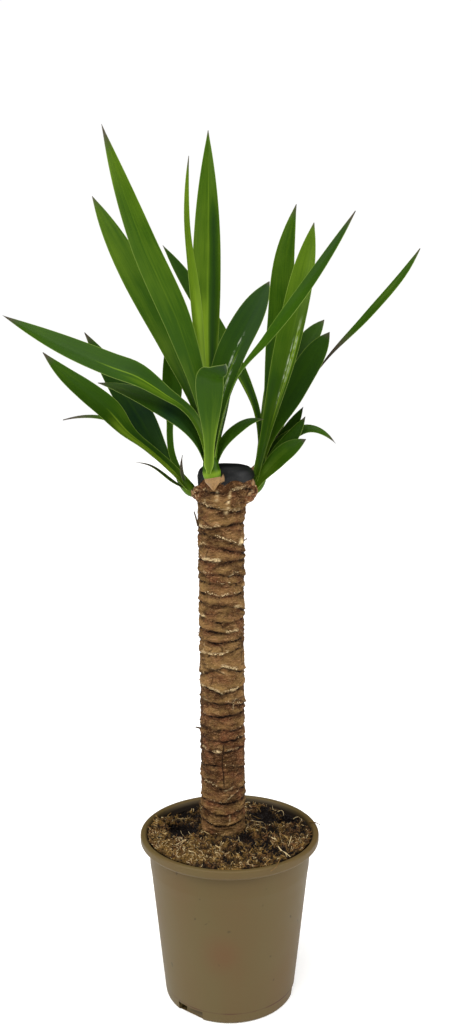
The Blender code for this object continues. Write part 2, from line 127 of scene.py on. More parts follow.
# Hollows and mounds in the soil: middle and radius in millimetres, rise, and how golden the
# moss is there; below zero the soil is darker, bare peat with painted shade in the deep hollows
SOIL_FEATURES = (
    ((-43, 0), 12, -10.5, -3.0), ((-44, 16), 12.5, -9.0, -2.0), ((-49, 48), 20, -8.0, -0.45),
    ((-27, 4), 6, 3.0, 1.3), ((40, 34), 17, -8.0, -1.2),
    ((58, 36), 10, -5.0, -1.4), ((30, 50), 10, -3.0, -0.6), ((12, -22), 8, -4.5, -1.2),
    ((40, -4), 9, -3.0, -0.7), ((5, -39), 10, 2.5, -0.2), ((24, -32), 9, -3.0, -0.8),
    ((-19, -32), 8, 2.5, 0.1), ((-66, -10), 14, 1.0, 0.6), ((-56, -38), 17, 0.5, 0.6),
    ((-34, -55), 15, 0.5, 0.55), ((-4, -63), 15, 0.5, 0.3), ((34, -55), 11, 0.0, -0.2),
    ((56, -28), 12, 1.0, 0.25), ((66, 4), 9, 1.5, -0.3), ((14, 60), 9, 2.0, 0.1),
    ((71, 20), 7, 3.5, -0.2), ((-2, -30), 7, 4.0, -0.3), ((22, -12), 8, 2.5, 0.1),
    ((44, -42), 8, -2.0, -0.7), ((-69, 18), 10, 3.0, 0.4), ((-30, -14), 8, 1.0, 0.1),
)

# Straws and curls on the moss, and bits dropped on the lip: points in millimetres, the third
# number being the height over the soil, then the radius and the tint
STRAWS = (
    (((44.6, -36.2, 1.5), (49.3, -48.0, 2.5), (54.4, -57.8, 2.0)), 0.50, 1.3),
    (((46.2, -40.5, 1.0), (50.0, -49.0, 2.0), (51.5, -56.5, 1.5)), 0.35, 1.1),
    (((57.7, -17.2, 1.5), (56.6, -26.1, 2.5), (54.0, -36.2, 1.0)), 0.35, 1.0),
    (((63.0, 37.0, 2.0), (66.5, 36.0, 2.5), (69.8, 26.8, 2.0), (69.7, 17.0, 1.5)), 0.45, 1.2),
    (((-55.0, 36.0, 2.5), (-51.0, 44.0, 3.5), (-47.5, 41.0, 3.5), (-43.0, 40.0, 3.5),
      (-40.0, 45.0, 3.0)), 0.26, 0.8),
    (((20.9, 19.3, 1.5), (28.1, 15.0, 2.0), (33.0, 25.7, 2.0)), 0.35, 0.9),
    (((6.5, 4.7, 3), (13.6, 0.7, 3.5), (20.4, -11.3, 2)), 0.40, 0.8),
    (((-13.7, -11.4, 2), (-7.7, -8.5, 2.5), (-0.7, -3.4, 2.5), (5.5, 1.7, 2)), 0.45, 0.8),
    (((-67.8, 31.0, 3), (-65.5, 27.5, 3.5), (-63.2, 24.4, 2)), 0.36, 1.0),
    (((45.9, 51.1, 1), (51.7, 53.3, 2), (54.1, 46.3, 1.5)), 0.35, 0.9),
    (((21.7, 60.8, 1), (26.6, 61.6, 2), (31.1, 56.0, 1)), 0.35, 0.6),
    (((46.0, -60.0, 3), (43.3, -71.5, 4.2), (40.8, -77.0, 2.0), (36.0, -80.0, 0)), 0.55, 0.35),
    (((77.0, 15.0, 3), (80.2, 12.0, 4.6), (83.0, 9.3, 4.8), (87.0, 7.0, 3.5)), 0.70, 0.3),
)

# Cane: height, middle along X and radius, in millimetres
CANE = ((120, -5.6, 20.0), (165, -5.9, 20.0), (335, -7.0, 20.1), (455, -7.6, 20.4), (472, -6.6, 21.8),
        (485, -3.0, 24.0), (498, -3.0, 24.0), (502, -3.0, 21.5))
CANE_SIDES = 208
CANE_ROW = 0.8
# In millimetres: where the bark starts, hidden in the soil, and the radii on which the length
# of an arc round it is measured
BARK_FOOT = 140
BARK_RADIUS = 20
TOP_RADIUS = 24
CANE_TURNS = (-180, -135, -90, -45, 0)
# Leaf scars. Each has its height in millimetres at the five bearings above, how pale the bark
# is over it, and its pale fibrous stretches: from and to which bearing, and how strong.
SCARS = (
    ((163, 164, 162, 163, 162), 0.0, ((-120, -60, 0.2),)),
    ((176, 174, 173, 175, 176), -0.3, ((-150, -110, 0.3),)),
    ((187, 185, 183, 185, 188), 0.1, ((-80, -20, 0.25),)),
    ((197, 196, 195, 196, 197), 0.2, ((-125, -80, 0.45),)),
    ((216, 214, 209, 207, 206), -0.1, ((-142, -100, 0.45),)),
    ((230, 231, 232, 229, 224), -0.3, ((-86, -27, 0.2),)),
    ((249, 244, 244, 246, 248), 0.0, ((-156, -130, 0.6), (-115, -95, 1.0), (-80, -45, 0.5))),
    ((257, 256, 255, 256, 258), -0.2, ((-60, -20, 0.2),)),
    ((268, 266, 265, 265, 268), 0.0, ((-70, -25, 0.4),)),
    ((280, 279, 278, 280, 281), -0.2, ((-150, -120, 0.25),)),
    ((292, 291, 291, 289, 286), 0.1, ((-78, -26, 0.35),)),
    ((304, 305, 300, 303, 305), 0.5, ((-168, -134, 1.0), (-127, -43, 0.75))),
    ((314, 318, 325, 320, 318), 0.6, ((-95, -43, 1.0),)),
    ((336, 336, 336, 341, 343), 0.2, ((-157, -71, 0.7),)),
    ((347, 348, 347, 350, 351), 0.0, ((-70, -30, 0.2),)),
    ((359, 358, 357, 357, 358), 0.5, ((-80, -42, 0.75),)),
    ((371, 369, 366, 367, 368), 0.3, ((-165, -136, 0.9),)),
    ((384, 383, 382, 379, 374), 0.4, ((-56, -29, 0.8),)),
    ((394, 392, 390, 391, 393), 0.8, ((-136, -38, 0.5),)),
    ((403, 402, 401, 402, 403), -0.1, ((-100, -60, 0.2),)),
    ((411, 410, 410, 408, 406), -0.2, ((-140, -120, 0.6), (-62, -40, 0.6))),
    ((423, 422, 421, 422, 423), 0.1, ((-143, -90, 1.0),)),
    ((432, 436, 434, 429, 428), -0.1, ((-165, -127, 0.5),)),
    ((446, 446, 442, 436, 436), 0.0, ((-104, -50, 0.7), (-42, -22, 1.0))),
    ((452, 451, 453, 455, 456), 0.0, ((-160, -93, 1.0),)),
    ((474, 472, 467, 466, 469), 0.1, ((-150, -40, 0.5),)),
    ((486, 484, 483, 487, 484), -0.5, ((-150, -120, 0.4), (-78, -35, 0.8))),
)
SCAR_LIP = 0.8
SCAR_GROOVE = 0.75
SCAR_WAVER = 1.2
# Torn flakes on the scars
FLAKE_SPACING = 0.45 * MM
FLAKE_SIZE = 0.62 * MM
# Slanting folds that join the scars, short wrinkles between them and hairline splits: how
# many, from and to how long in millimetres, and from and to how steep in radians
FOLDS = (60, (12, 34), (0.12, 0.5))
WRINKLES = (240, (4, 15), (0.0, 0.9))
SPLITS = (120, (5, 14), (0.1, 1.5))
STROKE_HEIGHTS = (165, 478)  # where on the cane they lie
# Cracks and pale ribs that run up the bark: bearing, from and to height, strength
CRACKS = ((-89, 216, 254, 1.0), (-86, 207, 227, 1.0), (-60, 210, 226, 0.5), (-26, 325, 340, 0.8),
          (-112, 262, 276, 0.4), (35, 230, 268, 0.7), (110, 330, 372, 0.8), (160, 262, 300, 0.6),
          (70, 400, 430, 0.5))
RIBS = ((-77, 461, 486, 1.0), (-104, 472, 486, 0.6), (60, 468, 486, 0.7))
# Swellings under the shoots and a pale bead: bearing, height, spread, rise, redness, paleness
KNOBS = ((-172, 480, 6.5, 2.2, 0.8, 0.0), (-10, 481, 7.0, 2.0, 0.5, 0.0),
         (-104, 486, 7.5, 1.4, 0.2, 0.0), (-30, 437.5, 2.4, 1.6, 0.0, 1.4))
# Bark that runs out under the side shoots: points in millimetres with the radius there
LEFT_KNOB = ((-16, -4, 478, 6.5), (-22, -4, 479.5, 7.4), (-27, -3.5, 480.5, 7.4),
             (-31.5, -3, 481.5, 6.2), (-34, -2.5, 482.5, 3.2))
RIGHT_KNOB = ((8, -5, 476, 7.0), (13, -5, 478, 8.2), (17, -4, 480.5, 8.0),
              (20.5, -3, 484, 6.4), (22.5, -2, 487, 3.2))

# Wax
WAX_THICKNESS = 1.3 * MM
WAX_GAP = 0.3 * MM
WAX_EDGE = 493 * MM
WAX_SIDES = 128
WAX_RUNS = ((-102, 17, 8.5), (-165, 14, 5.0), (-52, 9, 1.5), (40, 20, 3.5), (120, 18, 4.5))

# The shoots' stems, under their clasping leaf bases: points in millimetres with the radius there
FRONT_STEM = ((-13.8, -24, 494.5, 6.2), (-14.2, -27.5, 496.2, 7.6), (-14.8, -28.4, 498.0, 8.0),
              (-15.2, -28.8, 500.5, 7.0), (-15.8, -29.2, 505, 6.6), (-16.2, -30, 513, 4.8))
LEFT_STEM = ((-30, -1, 480.5, 4.4), (-34, -1, 482, 5.6), (-38, -1, 486, 5.6), (-41.5, 0, 490.5, 5.0),
             (-45, 0, 496, 3.8), (-47, 0, 501, 2.4))
RIGHT_STEM = ((19, 2, 480, 3.6), (22.5, 3, 483, 5.4), (25.5, 4, 487.5, 6.2), (27.5, 5, 494, 6.0),
              (30, 6, 502, 5.0), (32.5, 6, 511, 3.0))
# The dead heel under the front shoot
HEEL = ((-13.6, -26.4, 484.0, 0.8), (-13.7, -27.4, 487, 2.8), (-13.9, -28.2, 491, 5.0),
        (-14.1, -28.8, 495.0, 7.2), (-14.3, -29.0, 496.6, 7.5), (-14.4, -29.0, 497.6, 5.4))

# Blades. Each has the points that its middle runs through, in millimetres, its width, the
# share of its length where it is widest, how blunt its point is, how far its margins are
# raised, and the bearing and rise, in degrees, that its upper face looks to at root and tip.
FRONT_BLADES = {
    "tall_left": (((-18, -29, 497), (-19, -33, 536), (-40, -46, 618), (-70, -55, 687),
                   (-100, -58, 774)), 24, 0.52, 2.1, 0.10, (95, 0), (75, 0)),
    "broad_left": (((-19, -27, 496), (-22, -27, 536), (-50, -24, 607), (-81, -18, 666),
                    (-116, -10, 732)), 25, 0.60, 2.9, 0.10, (-60, 10), (-75, 20)),
    "upright": (((-16, -26, 496), (-17, -20, 545), (-20, -4, 622), (-19, 6, 708),
                 (-18, 10, 791)), 25, 0.55, 2.3, 0.30, (-90, 0), (-90, 10)),
    "edge_on": (((-17, -26, 496), (-22, -20, 562), (-30, -14, 646), (-37, -10, 717),
                 (-34, -8, 765)), 17, 0.60, 2.5, 0.20, (-50, 0), (-12, 0)),
    "forward": (((-17.4, -39, 498.7), (-16.9, -43, 515), (-16.3, -47, 534), (-16.1, -51, 552),
                 (-16, -55, 568), (-15.7, -60, 576), (-14.5, -68, 579.2), (-8, -100, 580.5),
                 (-1.5, -160, 581.5)), 23.5, 0.42, 1.15, 0.06, (90, 10), (52, 70)),
    "broad_right": (((-13, -27, 496), (-13, -30, 544), (2, -34, 600), (18, -34, 630),
                     (34, -30, 659)), 26, 0.66, 3.2, 0.12, (-90, 0), (-105, 20)),
    "long_right": (((-12, -28, 497), (-6, -34, 540), (9, -42, 582), (32, -50, 609),
                    (100, -70, 706)), 18, 0.58, 2.0, 0.15, (170, 20), (-110, 30)),
    "short_right": (((-11, -27, 498), (-6, -30, 522), (7, -33, 536), (19, -33, 543),
                     (30, -32, 545)), 13, 0.60, 2.6, 0.15, (-120, 20), (-90, 60)),
    "long_left": (((-19, -30, 497), (-22.3, -33, 527.5), (-28, -36, 542.6), (-34.6, -39, 551.8),
                   (-42.8, -42, 558.8), (-51, -45, 564), (-61.4, -49, 571.2), (-75.1, -52, 579.6),
                   (-97.6, -55, 587.8), (-137.5, -59, 604.3), (-183, -62, 627.5)),
                  25, 0.53, 2.7, 0.20, (-40, 0), (-75, 45)),
    "shaded_left": (((-19, -29, 497), (-23, -33, 517), (-39, -38, 543), (-64, -42, 559),
                     (-110, -42, 575)), 23, 0.50, 2.0, 0.15, (-40, 10), (-80, 45)),
    "small_left": (((-19, -26, 496), (-29, -24, 536), (-42, -20, 564)),
                   9, 0.50, 2.0, 0.10, (-40, 0), (-60, 20)),
    "back": (((-18, -25, 496), (-20, -10, 562), (-20, 8, 616), (-20, 24, 668)),
             20, 0.58, 2.4, 0.15, (-90, 20), (-90, 30)),
    "back_left": (((-18, -25, 496), (-26, -10, 553), (-46, 18, 607), (-71, 46, 664)),
                  27, 0.60, 3.2, 0.15, (-60, 20), (-60, 35)),
    "back_right": (((-13, -26, 496), (-9, -14, 545), (-1, 4, 584), (6, 14, 607)),
                   15, 0.55, 2.2, 0.15, (-110, 20), (-110, 40)),
}
LEFT_BLADES = {
    "creased": (((-34, -3, 480.5), (-51, -6, 500.8), (-70.1, -9, 518.6), (-89.4, -12, 534.4),
                 (-106.2, -14.5, 553.3), (-123, -16.5, 567.2), (-143.8, -18.5, 584.6),
                 (-160, -20, 602)), 24, 0.60, 2.2, 0.22, (-50, 20), (-75, 35)),
    "broad": (((-33, 1, 482), (-59, 12, 509), (-84, 22, 550), (-132, 30, 624)),
              28, 0.50, 1.9, 0.15, (-50, 10), (-75, 20)),
    "upright": (((-33, 1, 482), (-38.1, 0, 485), (-46.3, 4, 500.5), (-52.4, 9, 516.5),
                 (-54, 12, 531), (-53.8, 15, 545), (-52.3, 18, 563), (-52.5, 22, 590),
                 (-56, 26, 621)), 18, 0.66, 2.3, 0.15, (-70, 0), (-90, 10)),
    "level": (((-33.5, -1, 482), (-71, 4, 518), (-107, 8, 545), (-150, 10, 545)),
              11, 0.50, 1.6, 0.10, (0, 70), (-90, 50)),
    "low": (((-34, -4, 481), (-48, -6, 489), (-73, -12, 506), (-85, -14, 508)),
            5, 0.40, 2.0, 0.10, (-60, 60), (-80, 70)),
    "spike": (((-38, -3, 486), (-42.3, -6, 499), (-41.5, -7, 514)),
              3.4, 0.30, 2.0, 0.10, (-60, 0), (-80, 0)),
    "back": (((-33.5, 2, 482), (-50, 14, 501), (-74, 34, 530), (-101, 58, 566)),
             14, 0.58, 2.4, 0.15, (-60, 40), (-60, 60)),
    "back_low": (((-33, 3, 483), (-52, 20, 500), (-72, 40, 519), (-98, 60, 537)),
                 12, 0.55, 2.2, 0.15, (-60, 40), (-60, 70)),
}
RIGHT_BLADES = {
    "crossing": (((22, 6, 484), (28.5, 13, 513), (28, 18, 536), (24, 22, 557), (17, 27, 575),
                  (-8, 38, 621), (-61, 44, 703)),
                 16, 0.65, 3.2, 0.15, (-90, 0), (-75, 20)),
    "upright": (((21, 3, 484), (35, 12, 541), (45, 18, 625), (50, 18, 694), (59, 16, 732)),
                23, 0.58, 2.6, 0.12, (-100, 0), (-80, 0)),
    "glossy": (((21.5, 0, 483), (35, 2, 541), (52, -2, 612), (65, -4, 673), (73, -4, 712)),
               23, 0.60, 3.0, 0.22, (-120, 0), (-100, 0)),
    "blunt_back": (((22, 4, 483), (41, 16, 550), (65, 24, 606), (86, 28, 635)),
                   22, 0.62, 4.6, 0.12, (-120, 10), (-110, 20)),
    "blunt": (((27, 5, 490), (34, 6, 525), (56, 8, 568), (89, 8, 622)),
              25, 0.62, 4.0, 0.12, (-120, 10), (-110, 20)),
    "far_right": (((23, 6, 483), (56, 22, 553), (88, 30, 599), (126, 34, 639), (162, 34, 682),
                   (172, 33, 698)), 13, 0.76, 2.2, 0.10, (170, 45), (-120, 35)),
    "drooping": (((23, 4, 482), (50, 10, 527), (72, 10, 537), (96, 8, 524)),
                 14, 0.50, 2.0, 0.15, (-110, 60), (-80, 42)),
    "dark_low": (((22.5, 3, 482), (37, 12, 509), (58, 16, 541), (67, 17, 557)),
                 15, 0.60, 2.4, 0.12, (-120, 20), (-110, 30)),
    "middle_low": (((22, 0, 481), (38, 4, 508), (61, 4, 536), (68, 4, 548)),
                   15, 0.60, 2.4, 0.12, (-120, 20), (-110, 30)),
    "lowest": (((21, -3, 480), (36, -4, 502), (54, -8, 519), (68, -8, 528)),
               22, 0.60, 2.6, 0.12, (-110, 40), (-110, 45)),
    "back": (((22, 8, 484), (35, 26, 545), (48, 48, 606), (57, 70, 658)),
             19, 0.58, 2.4, 0.15, (-110, 20), (-110, 50)),
    "back_low": (((23, 8, 484), (38, 30, 527), (53, 58, 560), (69, 84, 585)),
                 17, 0.55, 2.2, 0.15, (-110, 40), (-110, 60)),
}
SHOOTS = {
    "shoot_front": (FRONT_STEM, FRONT_BLADES),
    "shoot_left": (LEFT_STEM, LEFT_BLADES),
    "shoot_right": (RIGHT_STEM, RIGHT_BLADES),
}
# How a blade looks: its tone at root, middle and tip, from 0, deep blue green, to 1, lime, and
# the length of its dried tip in millimetres. The very low middles of the front shoot's
# shaded_left and the left shoot's broad blade are painted shade from the blades over them.
USUAL_LOOK = (0.55, 0.5, 0.55, 4)
BLADE_LOOKS = {
    "shoot_front_tall_left": (0.54, 0.48, 0.58, 20),
    "shoot_front_broad_left": (0.48, 0.52, 0.58, 8),
    "shoot_front_upright": (0.62, 0.62, 0.56, 6),
    "shoot_front_edge_on": (0.60, 0.70, 0.72, 14),
    "shoot_front_forward": (0.60, 0.46, 0.12, 2),
    "shoot_front_broad_right": (0.40, 0.46, 0.20, 4),
    "shoot_front_long_right": (0.50, 0.52, 0.34, 14),
    "shoot_front_short_right": (0.46, 0.44, 0.34, 6),
    "shoot_front_long_left": (0.62, 0.42, 0.46, 15),
    "shoot_front_shaded_left": (0.52, 0.06, 0.36, 9),
    "shoot_front_small_left": (0.66, 0.52, 0.48, 4),
    "shoot_left_creased": (0.56, 0.50, 0.46, 12),
    "shoot_left_broad": (0.40, 0.08, 0.40, 12),
    "shoot_left_upright": (0.60, 0.40, 0.46, 4),
    "shoot_left_level": (0.60, 0.62, 0.56, 34),
    "shoot_left_low": (0.50, 0.50, 0.40, 34),
    "shoot_left_spike": (0.30, 0.20, 0.10, 26),
    "shoot_left_back": (0.40, 0.12, 0.36, 4),
    "shoot_left_back_low": (0.40, 0.30, 0.36, 4),
    "shoot_right_crossing": (0.42, 0.52, 0.36, 5),
    "shoot_right_upright": (0.54, 0.56, 0.54, 9),
    "shoot_right_glossy": (0.54, 0.54, 0.62, 6),
    "shoot_right_blunt_back": (0.60, 0.30, 0.44, 5),
    "shoot_right_blunt": (0.70, 0.34, 0.38, 6),
    "shoot_right_far_right": (0.40, 0.50, 0.50, 9),
    "shoot_right_drooping": (0.50, 0.42, 0.50, 12),
    "shoot_right_dark_low": (0.60, 0.50, 0.36, 4),
    "shoot_right_middle_low": (0.58, 0.48, 0.42, 5),
    "shoot_right_lowest": (0.58, 0.50, 0.44, 5),
}
# Bands along a blade: where across it, from -1 to 1, how wide, from and to which share of its
# length, and the change of tone there. Many are painted light and shade: the lit and shaded
# halves of folded blades (the front and right upright, creased, long_left, glossy), painted
# highlights along the creases of creased and long_left, and thin painted glints on glossy and
# broad_right.
BLADE_TONE_AND_SHADING_BANDS = {
    "shoot_front_upright": ((0.50, 0.24, 0.24, 0.84, -0.36), (-0.15, 0.26, 0.06, 0.56, 0.34),
                            (0.08, 0.05, 0.10, 0.95, 0.14)),
    "shoot_front_tall_left": ((0.0, 0.04, 0.2, 0.9, 0.06),),
    "shoot_front_shaded_left": ((0.0, 3.0, 0.52, 1.2, 0.20),),
    "shoot_front_broad_left": ((-0.5, 0.4, 0.3, 0.9, 0.05),),
    "shoot_front_edge_on": ((0.4, 0.5, 0.15, 0.62, 0.25),),
    "shoot_front_forward": ((-0.85, 0.12, 0.0, 0.30, 0.22), (0.85, 0.1, 0.0, 0.25, 0.15)),
    "shoot_front_long_left": ((-0.10, 0.05, 0.22, 0.68, 0.42), (-0.50, 0.35, 0.25, 0.60, 0.16),
                              (0.45, 0.40, 0.2, 0.6, -0.10)),
    "shoot_front_broad_right": ((0.35, 0.035, 0.35, 0.72, 0.30), (0.52, 0.03, 0.25, 0.6, 0.25),
                                (0.2, 0.03, 0.5, 0.75, 0.2)),
    "shoot_left_creased": ((0.0, 0.05, 0.04, 0.62, 0.50), (-0.48, 0.40, 0.05, 0.58, 0.42),
                           (0.45, 0.40, 0.10, 0.50, -0.22)),
    "shoot_left_level": ((0.0, 0.5, 0.3, 0.7, 0.12),),
    "shoot_left_broad": ((0.0, 0.06, 0.3, 0.9, 0.08),),
    "shoot_right_glossy": ((0.55, 0.05, 0.22, 0.68, 0.52), (0.72, 0.04, 0.30, 0.66, 0.45),
                           (0.35, 0.03, 0.30, 0.60, 0.3), (-0.5, 0.3, 0.1, 0.5, -0.14)),
    "shoot_right_upright": ((-0.75, 0.35, 0.0, 0.62, -0.26), (0.4, 0.2, 0.05, 0.35, 0.16)),
    "shoot_right_lowest": ((-0.2, 0.4, 0.2, 0.8, 0.08),),
    "shoot_right_crossing": ((-0.7, 0.12, 0.05, 0.5, 0.3), (0.2, 0.3, 0.05, 0.5, -0.2)),
}
# Painted glints, broken pale streaks of highlight: where across the blade, how wide, from and to
# which share
BLADE_GLINTS = {
    "shoot_right_glossy": ((0.60, 0.06, 0.38, 0.68), (0.36, 0.05, 0.30, 0.60)),
    "shoot_front_broad_right": ((0.20, 0.05, 0.48, 0.74), (0.42, 0.05, 0.36, 0.62)),
}
# Blades with a neck of their own: the width at the root as a share of the whole, and the share
# of the length where the blade starts to widen
USUAL_NECK = (0.30, 0.06)
BLADE_NECKS = {
    "shoot_front_forward": (0.37, 0.10),
    "shoot_left_upright": (0.33, 0.44),
    "shoot_left_creased": (0.42, 0.34),
    "shoot_left_spike": (0.8, 0.05),
    "shoot_right_far_right": (0.26, 0.44),
    "shoot_right_crossing": (0.36, 0.24),
    "shoot_front_long_left": (0.38, 0.28),
    "shoot_front_shaded_left": (0.36, 0.14),
}
# Blades whose lower part has gone grey: up to which share of their length, and how much
GREY_ROOTS = {"shoot_right_far_right": (0.66, 0.95), "shoot_left_low": (0.50, 0.3)}
BLADE_THICKNESS = 0.8 * MM
BLADE_ACROSS = 23
ROOT_FOLD = 0.5
TIP_HALF_WIDTH = 0.25 * MM
BLADE_STATIONS = 44
MARGIN_WAVE = 0.35 * MM
FAR_FROM_EDGE = 5 * MM  # for shells that have no margin

# Small things: dead twigs on the cane and dry scales, points in millimetres
TWIGS = (
    (((-28.0, -8, 451), (-29.8, -8.5, 458), (-31.6, -8, 464)), 1.0),
    (((-25.4, -5, 260.4), (-28.6, -5.5, 262.0), (-31.8, -5.5, 262.6)), 1.15),
    (((-25.0, -5, 244.6), (-26.4, -5, 247.4), (-27.6, -5, 249.4)), 1.20),
    (((13.0, -6, 438.0), (14.8, -6, 438.4), (16.0, -6, 440.4)), 0.60),
    (((-26.8, -4, 352.0), (-28.6, -4, 352.6), (-29.4, -4, 352.2)), 0.50),
)
SCALES = {
    "heel_flap": (((-8.5, -29, 489), (-6.2, -29, 493), (-5.2, -28, 498.5)),
                  5, 0.4, 1.5, 0.1, (-60, 0), (-60, 0)),
    "right_bract": (((19, -9, 484), (21, -9, 489), (20.5, -7, 494)),
                    4.5, 0.4, 1.5, 0.3, (-60, 0), (-60, 20)),
    "right_bract_low": (((15, -12.5, 477), (18, -12.5, 480), (21, -11, 482)),
                        4, 0.4, 1.5, 0.3, (-60, 0), (-50, 20)),
    "right_bract_back": (((17, 0, 497), (20, -2, 501), (22, -2, 505)),
                         4, 0.4, 1.5, 0.3, (-80, 0), (-80, 20)),
    "right_bract_top": (((13, -2, 500), (16, -3, 502.5), (19, -3, 502)),
                        4, 0.4, 1.5, 0.3, (-80, 30), (-80, 60)),
    "left_bract": (((-29, -8, 477), (-32, -7.5, 480), (-34.5, -6.5, 484)),
                   4, 0.4, 1.5, 0.3, (-120, 0), (-120, 20)),
}

# Camera: where the photograph was taken from
CAMERA_PLACE = (6 * MM, -808 * MM, 532 * MM)
CAMERA_PITCH = 8.6
FOCAL_PIXELS = 895
IMAGE_HEIGHT = 1024
AXIS_BELOW_MIDDLE = 58  # pixels from the image's middle down to the optical axis
SENSOR = 36

# Stage, in metres and degrees
FLOOR_SIZE = 40
FLOOR_LEVEL = -0.3 * MM
SIDE_BOXES = {"left_box": (-1.8, -0.75, 1.2), "right_box": (1.8, -0.75, 1.1)}
SIDE_BOX_SIZE = 1.2
SIDE_BOX_AIM = (0, 0, 0.45)
TOP_LIGHT_SPREAD = 70
TOP_LIGHT_TILT = (20, -7, 0)


def linear(colour):
    """An sRGB hex colour as linear red, green, blue and alpha."""
    channels = [int(colour[i:i + 2], 16) / 255 for i in (1, 3, 5)]
    return (*[c / 12.92 if c <= 0.04045 else ((c + 0.055) / 1.055) ** 2.4 for c in channels], 1.0)


def colour_property(name, description, colour):
    return FloatVectorProperty(name=name, description=description, subtype="COLOR", size=4,
                               min=0, max=1, default=linear(colour))


class PotSettings(bpy.types.PropertyGroup):
    """Sizes and colours of the pot."""

    height: FloatProperty(name="Height", description="Height of the pot", unit="LENGTH",
                          default=POT_HIGH.z, min=0.05)
    lip_radius: FloatProperty(name="Lip radius", description="Outer radius of the lip",
                              unit="LENGTH", default=POT_HIGH.x, min=0.03)
    plastic: colour_property("Plastic", "Colour of the moulded plastic", "#574a2a")
    shade: colour_property("Shade", "Redder flow marks in the plastic", "#5a4225")


class SoilSettings(bpy.types.PropertyGroup):
    """Soil, moss and rootlets."""

    fibres: IntProperty(name="Moss fibres", description="Moss fibres per square centimetre",
                        default=22, min=0, max=90)
    fibre_length: FloatProperty(name="Fibre length", description="Length of a moss fibre",
                                unit="LENGTH", default=3.6 * MM)
    crumbs: IntProperty(name="Crumbs", description="Crumbs of peat per square centimetre",
                        default=26, min=0, max=60)
    rootlets: FloatProperty(name="Rootlets", description="Rootlets per square centimetre",
                            default=0.35, min=0)
    peat: colour_property("Peat", "Colour of the moist peat", "#100a06")
    moss: colour_property("Moss", "Colour of the dried moss", "#93713a")
    straw: colour_property("Straw", "Colour of the pale fibres", "#dcc696")


class CaneSettings(bpy.types.PropertyGroup):
    """Bark, leaf scars and wax."""

    bark: colour_property("Bark", "Colour of the bark", "#432b15")
    # The nearly black colour of the painted shade in the bark's grooves, also the dark rim of the dry
    # leaf bases
    dark_and_groove_shade: colour_property("Groove", "Colour of the grooves", "#160b05")
    pale: colour_property("Pale bark", "Colour of the paler bark", "#82653c")
    fibre: colour_property("Scar fibre", "Colour of the torn fibres on the scars", "#dcc495")
    wax: colour_property("Wax", "Colour of the wax", "#0f1011")


class LeafSettings(bpy.types.PropertyGroup):
    """Leaf colours and veins."""

    deep: colour_property("Deep green", "Colour of an old or shaded leaf", "#0b2115")
    green: colour_property("Green", "Usual colour of a leaf", "#2c4a06")
    lime: colour_property("Lime", "Colour of a young leaf and of the margins", "#7d9a24")
    dry: colour_property("Dry", "Colour of a dried tip", "#4b4238")
    vein_spacing: FloatProperty(name="Vein spacing", description="Distance between the long veins",
                                unit="LENGTH", default=0.9 * MM, min=0.2 * MM)


class StageSettings(bpy.types.PropertyGroup):
    """Floor and light."""

    floor: colour_property("Floor", "Colour of the floor", "#f4f3f1")
    glow: FloatProperty(name="Glow", description="How much the floor shines by itself",
                        default=0.32, min=0)
    side: FloatProperty(name="Side lights", description="Power of the soft box on either side",
                        unit="POWER", default=24, min=0)
    top: FloatProperty(name="Top light", description="Strength of the soft light from above",
                       default=3.6, min=0)
    backdrop: FloatProperty(name="Backdrop", description="Brightness of the white backdrop",
                            default=1.02, min=0)


# Kinds of node that come up often. A Map Range lists its value, then the least and the most of
# what comes in, and the least and the most of what goes out. On a Mix of colours, 0 is the share
# and 6 and 7 are the colours. On a Random Value, 0 and 1 are the least and the most of a vector,
# 2 and 3 of a number and 4 and 5 of a whole number, and 8 is the seed.
NOISE = "ShaderNodeTexNoise"
RANGE = "ShaderNodeMapRange"
MATH = "ShaderNodeMath"
MIX = "ShaderNodeMix"
MAPPING = "ShaderNodeMapping"
RANDOM = "FunctionNodeRandomValue"


def node(tree, kind, inputs=(), **settings):
    """Adds a node. inputs lists what its sockets get, in order, or maps a socket's name or number
    to it: a value, an output, or a node whose first output in use is linked. The settings are
    the node's own."""
    made = tree.nodes.new(kind)
    for name, value in settings.items():
        setattr(made, name, value)
    for socket, value in (inputs.items() if isinstance(inputs, dict) else enumerate(inputs)):
        if isinstance(value, bpy.types.Node):
            value = next(output for output in value.outputs if output.enabled)
        if isinstance(value, bpy.types.NodeSocket):
            tree.links.new(value, made.inputs[socket])
        else:
            made.inputs[socket].default_value = value
    return made


def new_material(name, *sources):
    """A material, its tree and an output for each thing that it reads: place is where a point
    lies on its object, and the rest are the mesh's own attributes, of which lie has a vector."""
    material = bpy.data.materials.new(name)
    material.use_nodes = True
    tree = material.node_tree
    tree.nodes.clear()
    outputs = []
    for source in sources:
        if source == "place":
            outputs.append(node(tree, "ShaderNodeTexCoord").outputs["Object"])
        else:
            read = node(tree, "ShaderNodeAttribute", attribute_name=source)
            outputs.append(read.outputs["Vector" if source == "lie" else "Fac"])
    return material, tree, *outputs


def finish_material(material, colour, layers, roughness, height, relief, specular, glow=0.0):
    """Lays more colours over the first, each as far as its share says, and joins them with a
    roughness and a relief, given by strength and depth, to the shader."""
    tree = material.node_tree
    for share, paint in layers:
        colour = node(tree, MIX, {0: share, 6: colour, 7: paint}, data_type="RGBA")
    bump = node(tree, "ShaderNodeBump", {"Height": height, "Strength": relief[0],
                                         "Distance": relief[1]})
    shader = node(tree, "ShaderNodeBsdfPrincipled", {
        "Base Color": colour, "Roughness": roughness, "Metallic": 0.0, "IOR": 1.46,
        "Specular IOR Level": specular, "Normal": bump, "Emission Color": (1, 1, 1, 1),
        "Emission Strength": glow})
    node(tree, "ShaderNodeOutputMaterial", {"Surface": shader})
    material.diffuse_color = (0.5, 0.5, 0.5, 1)
    return material


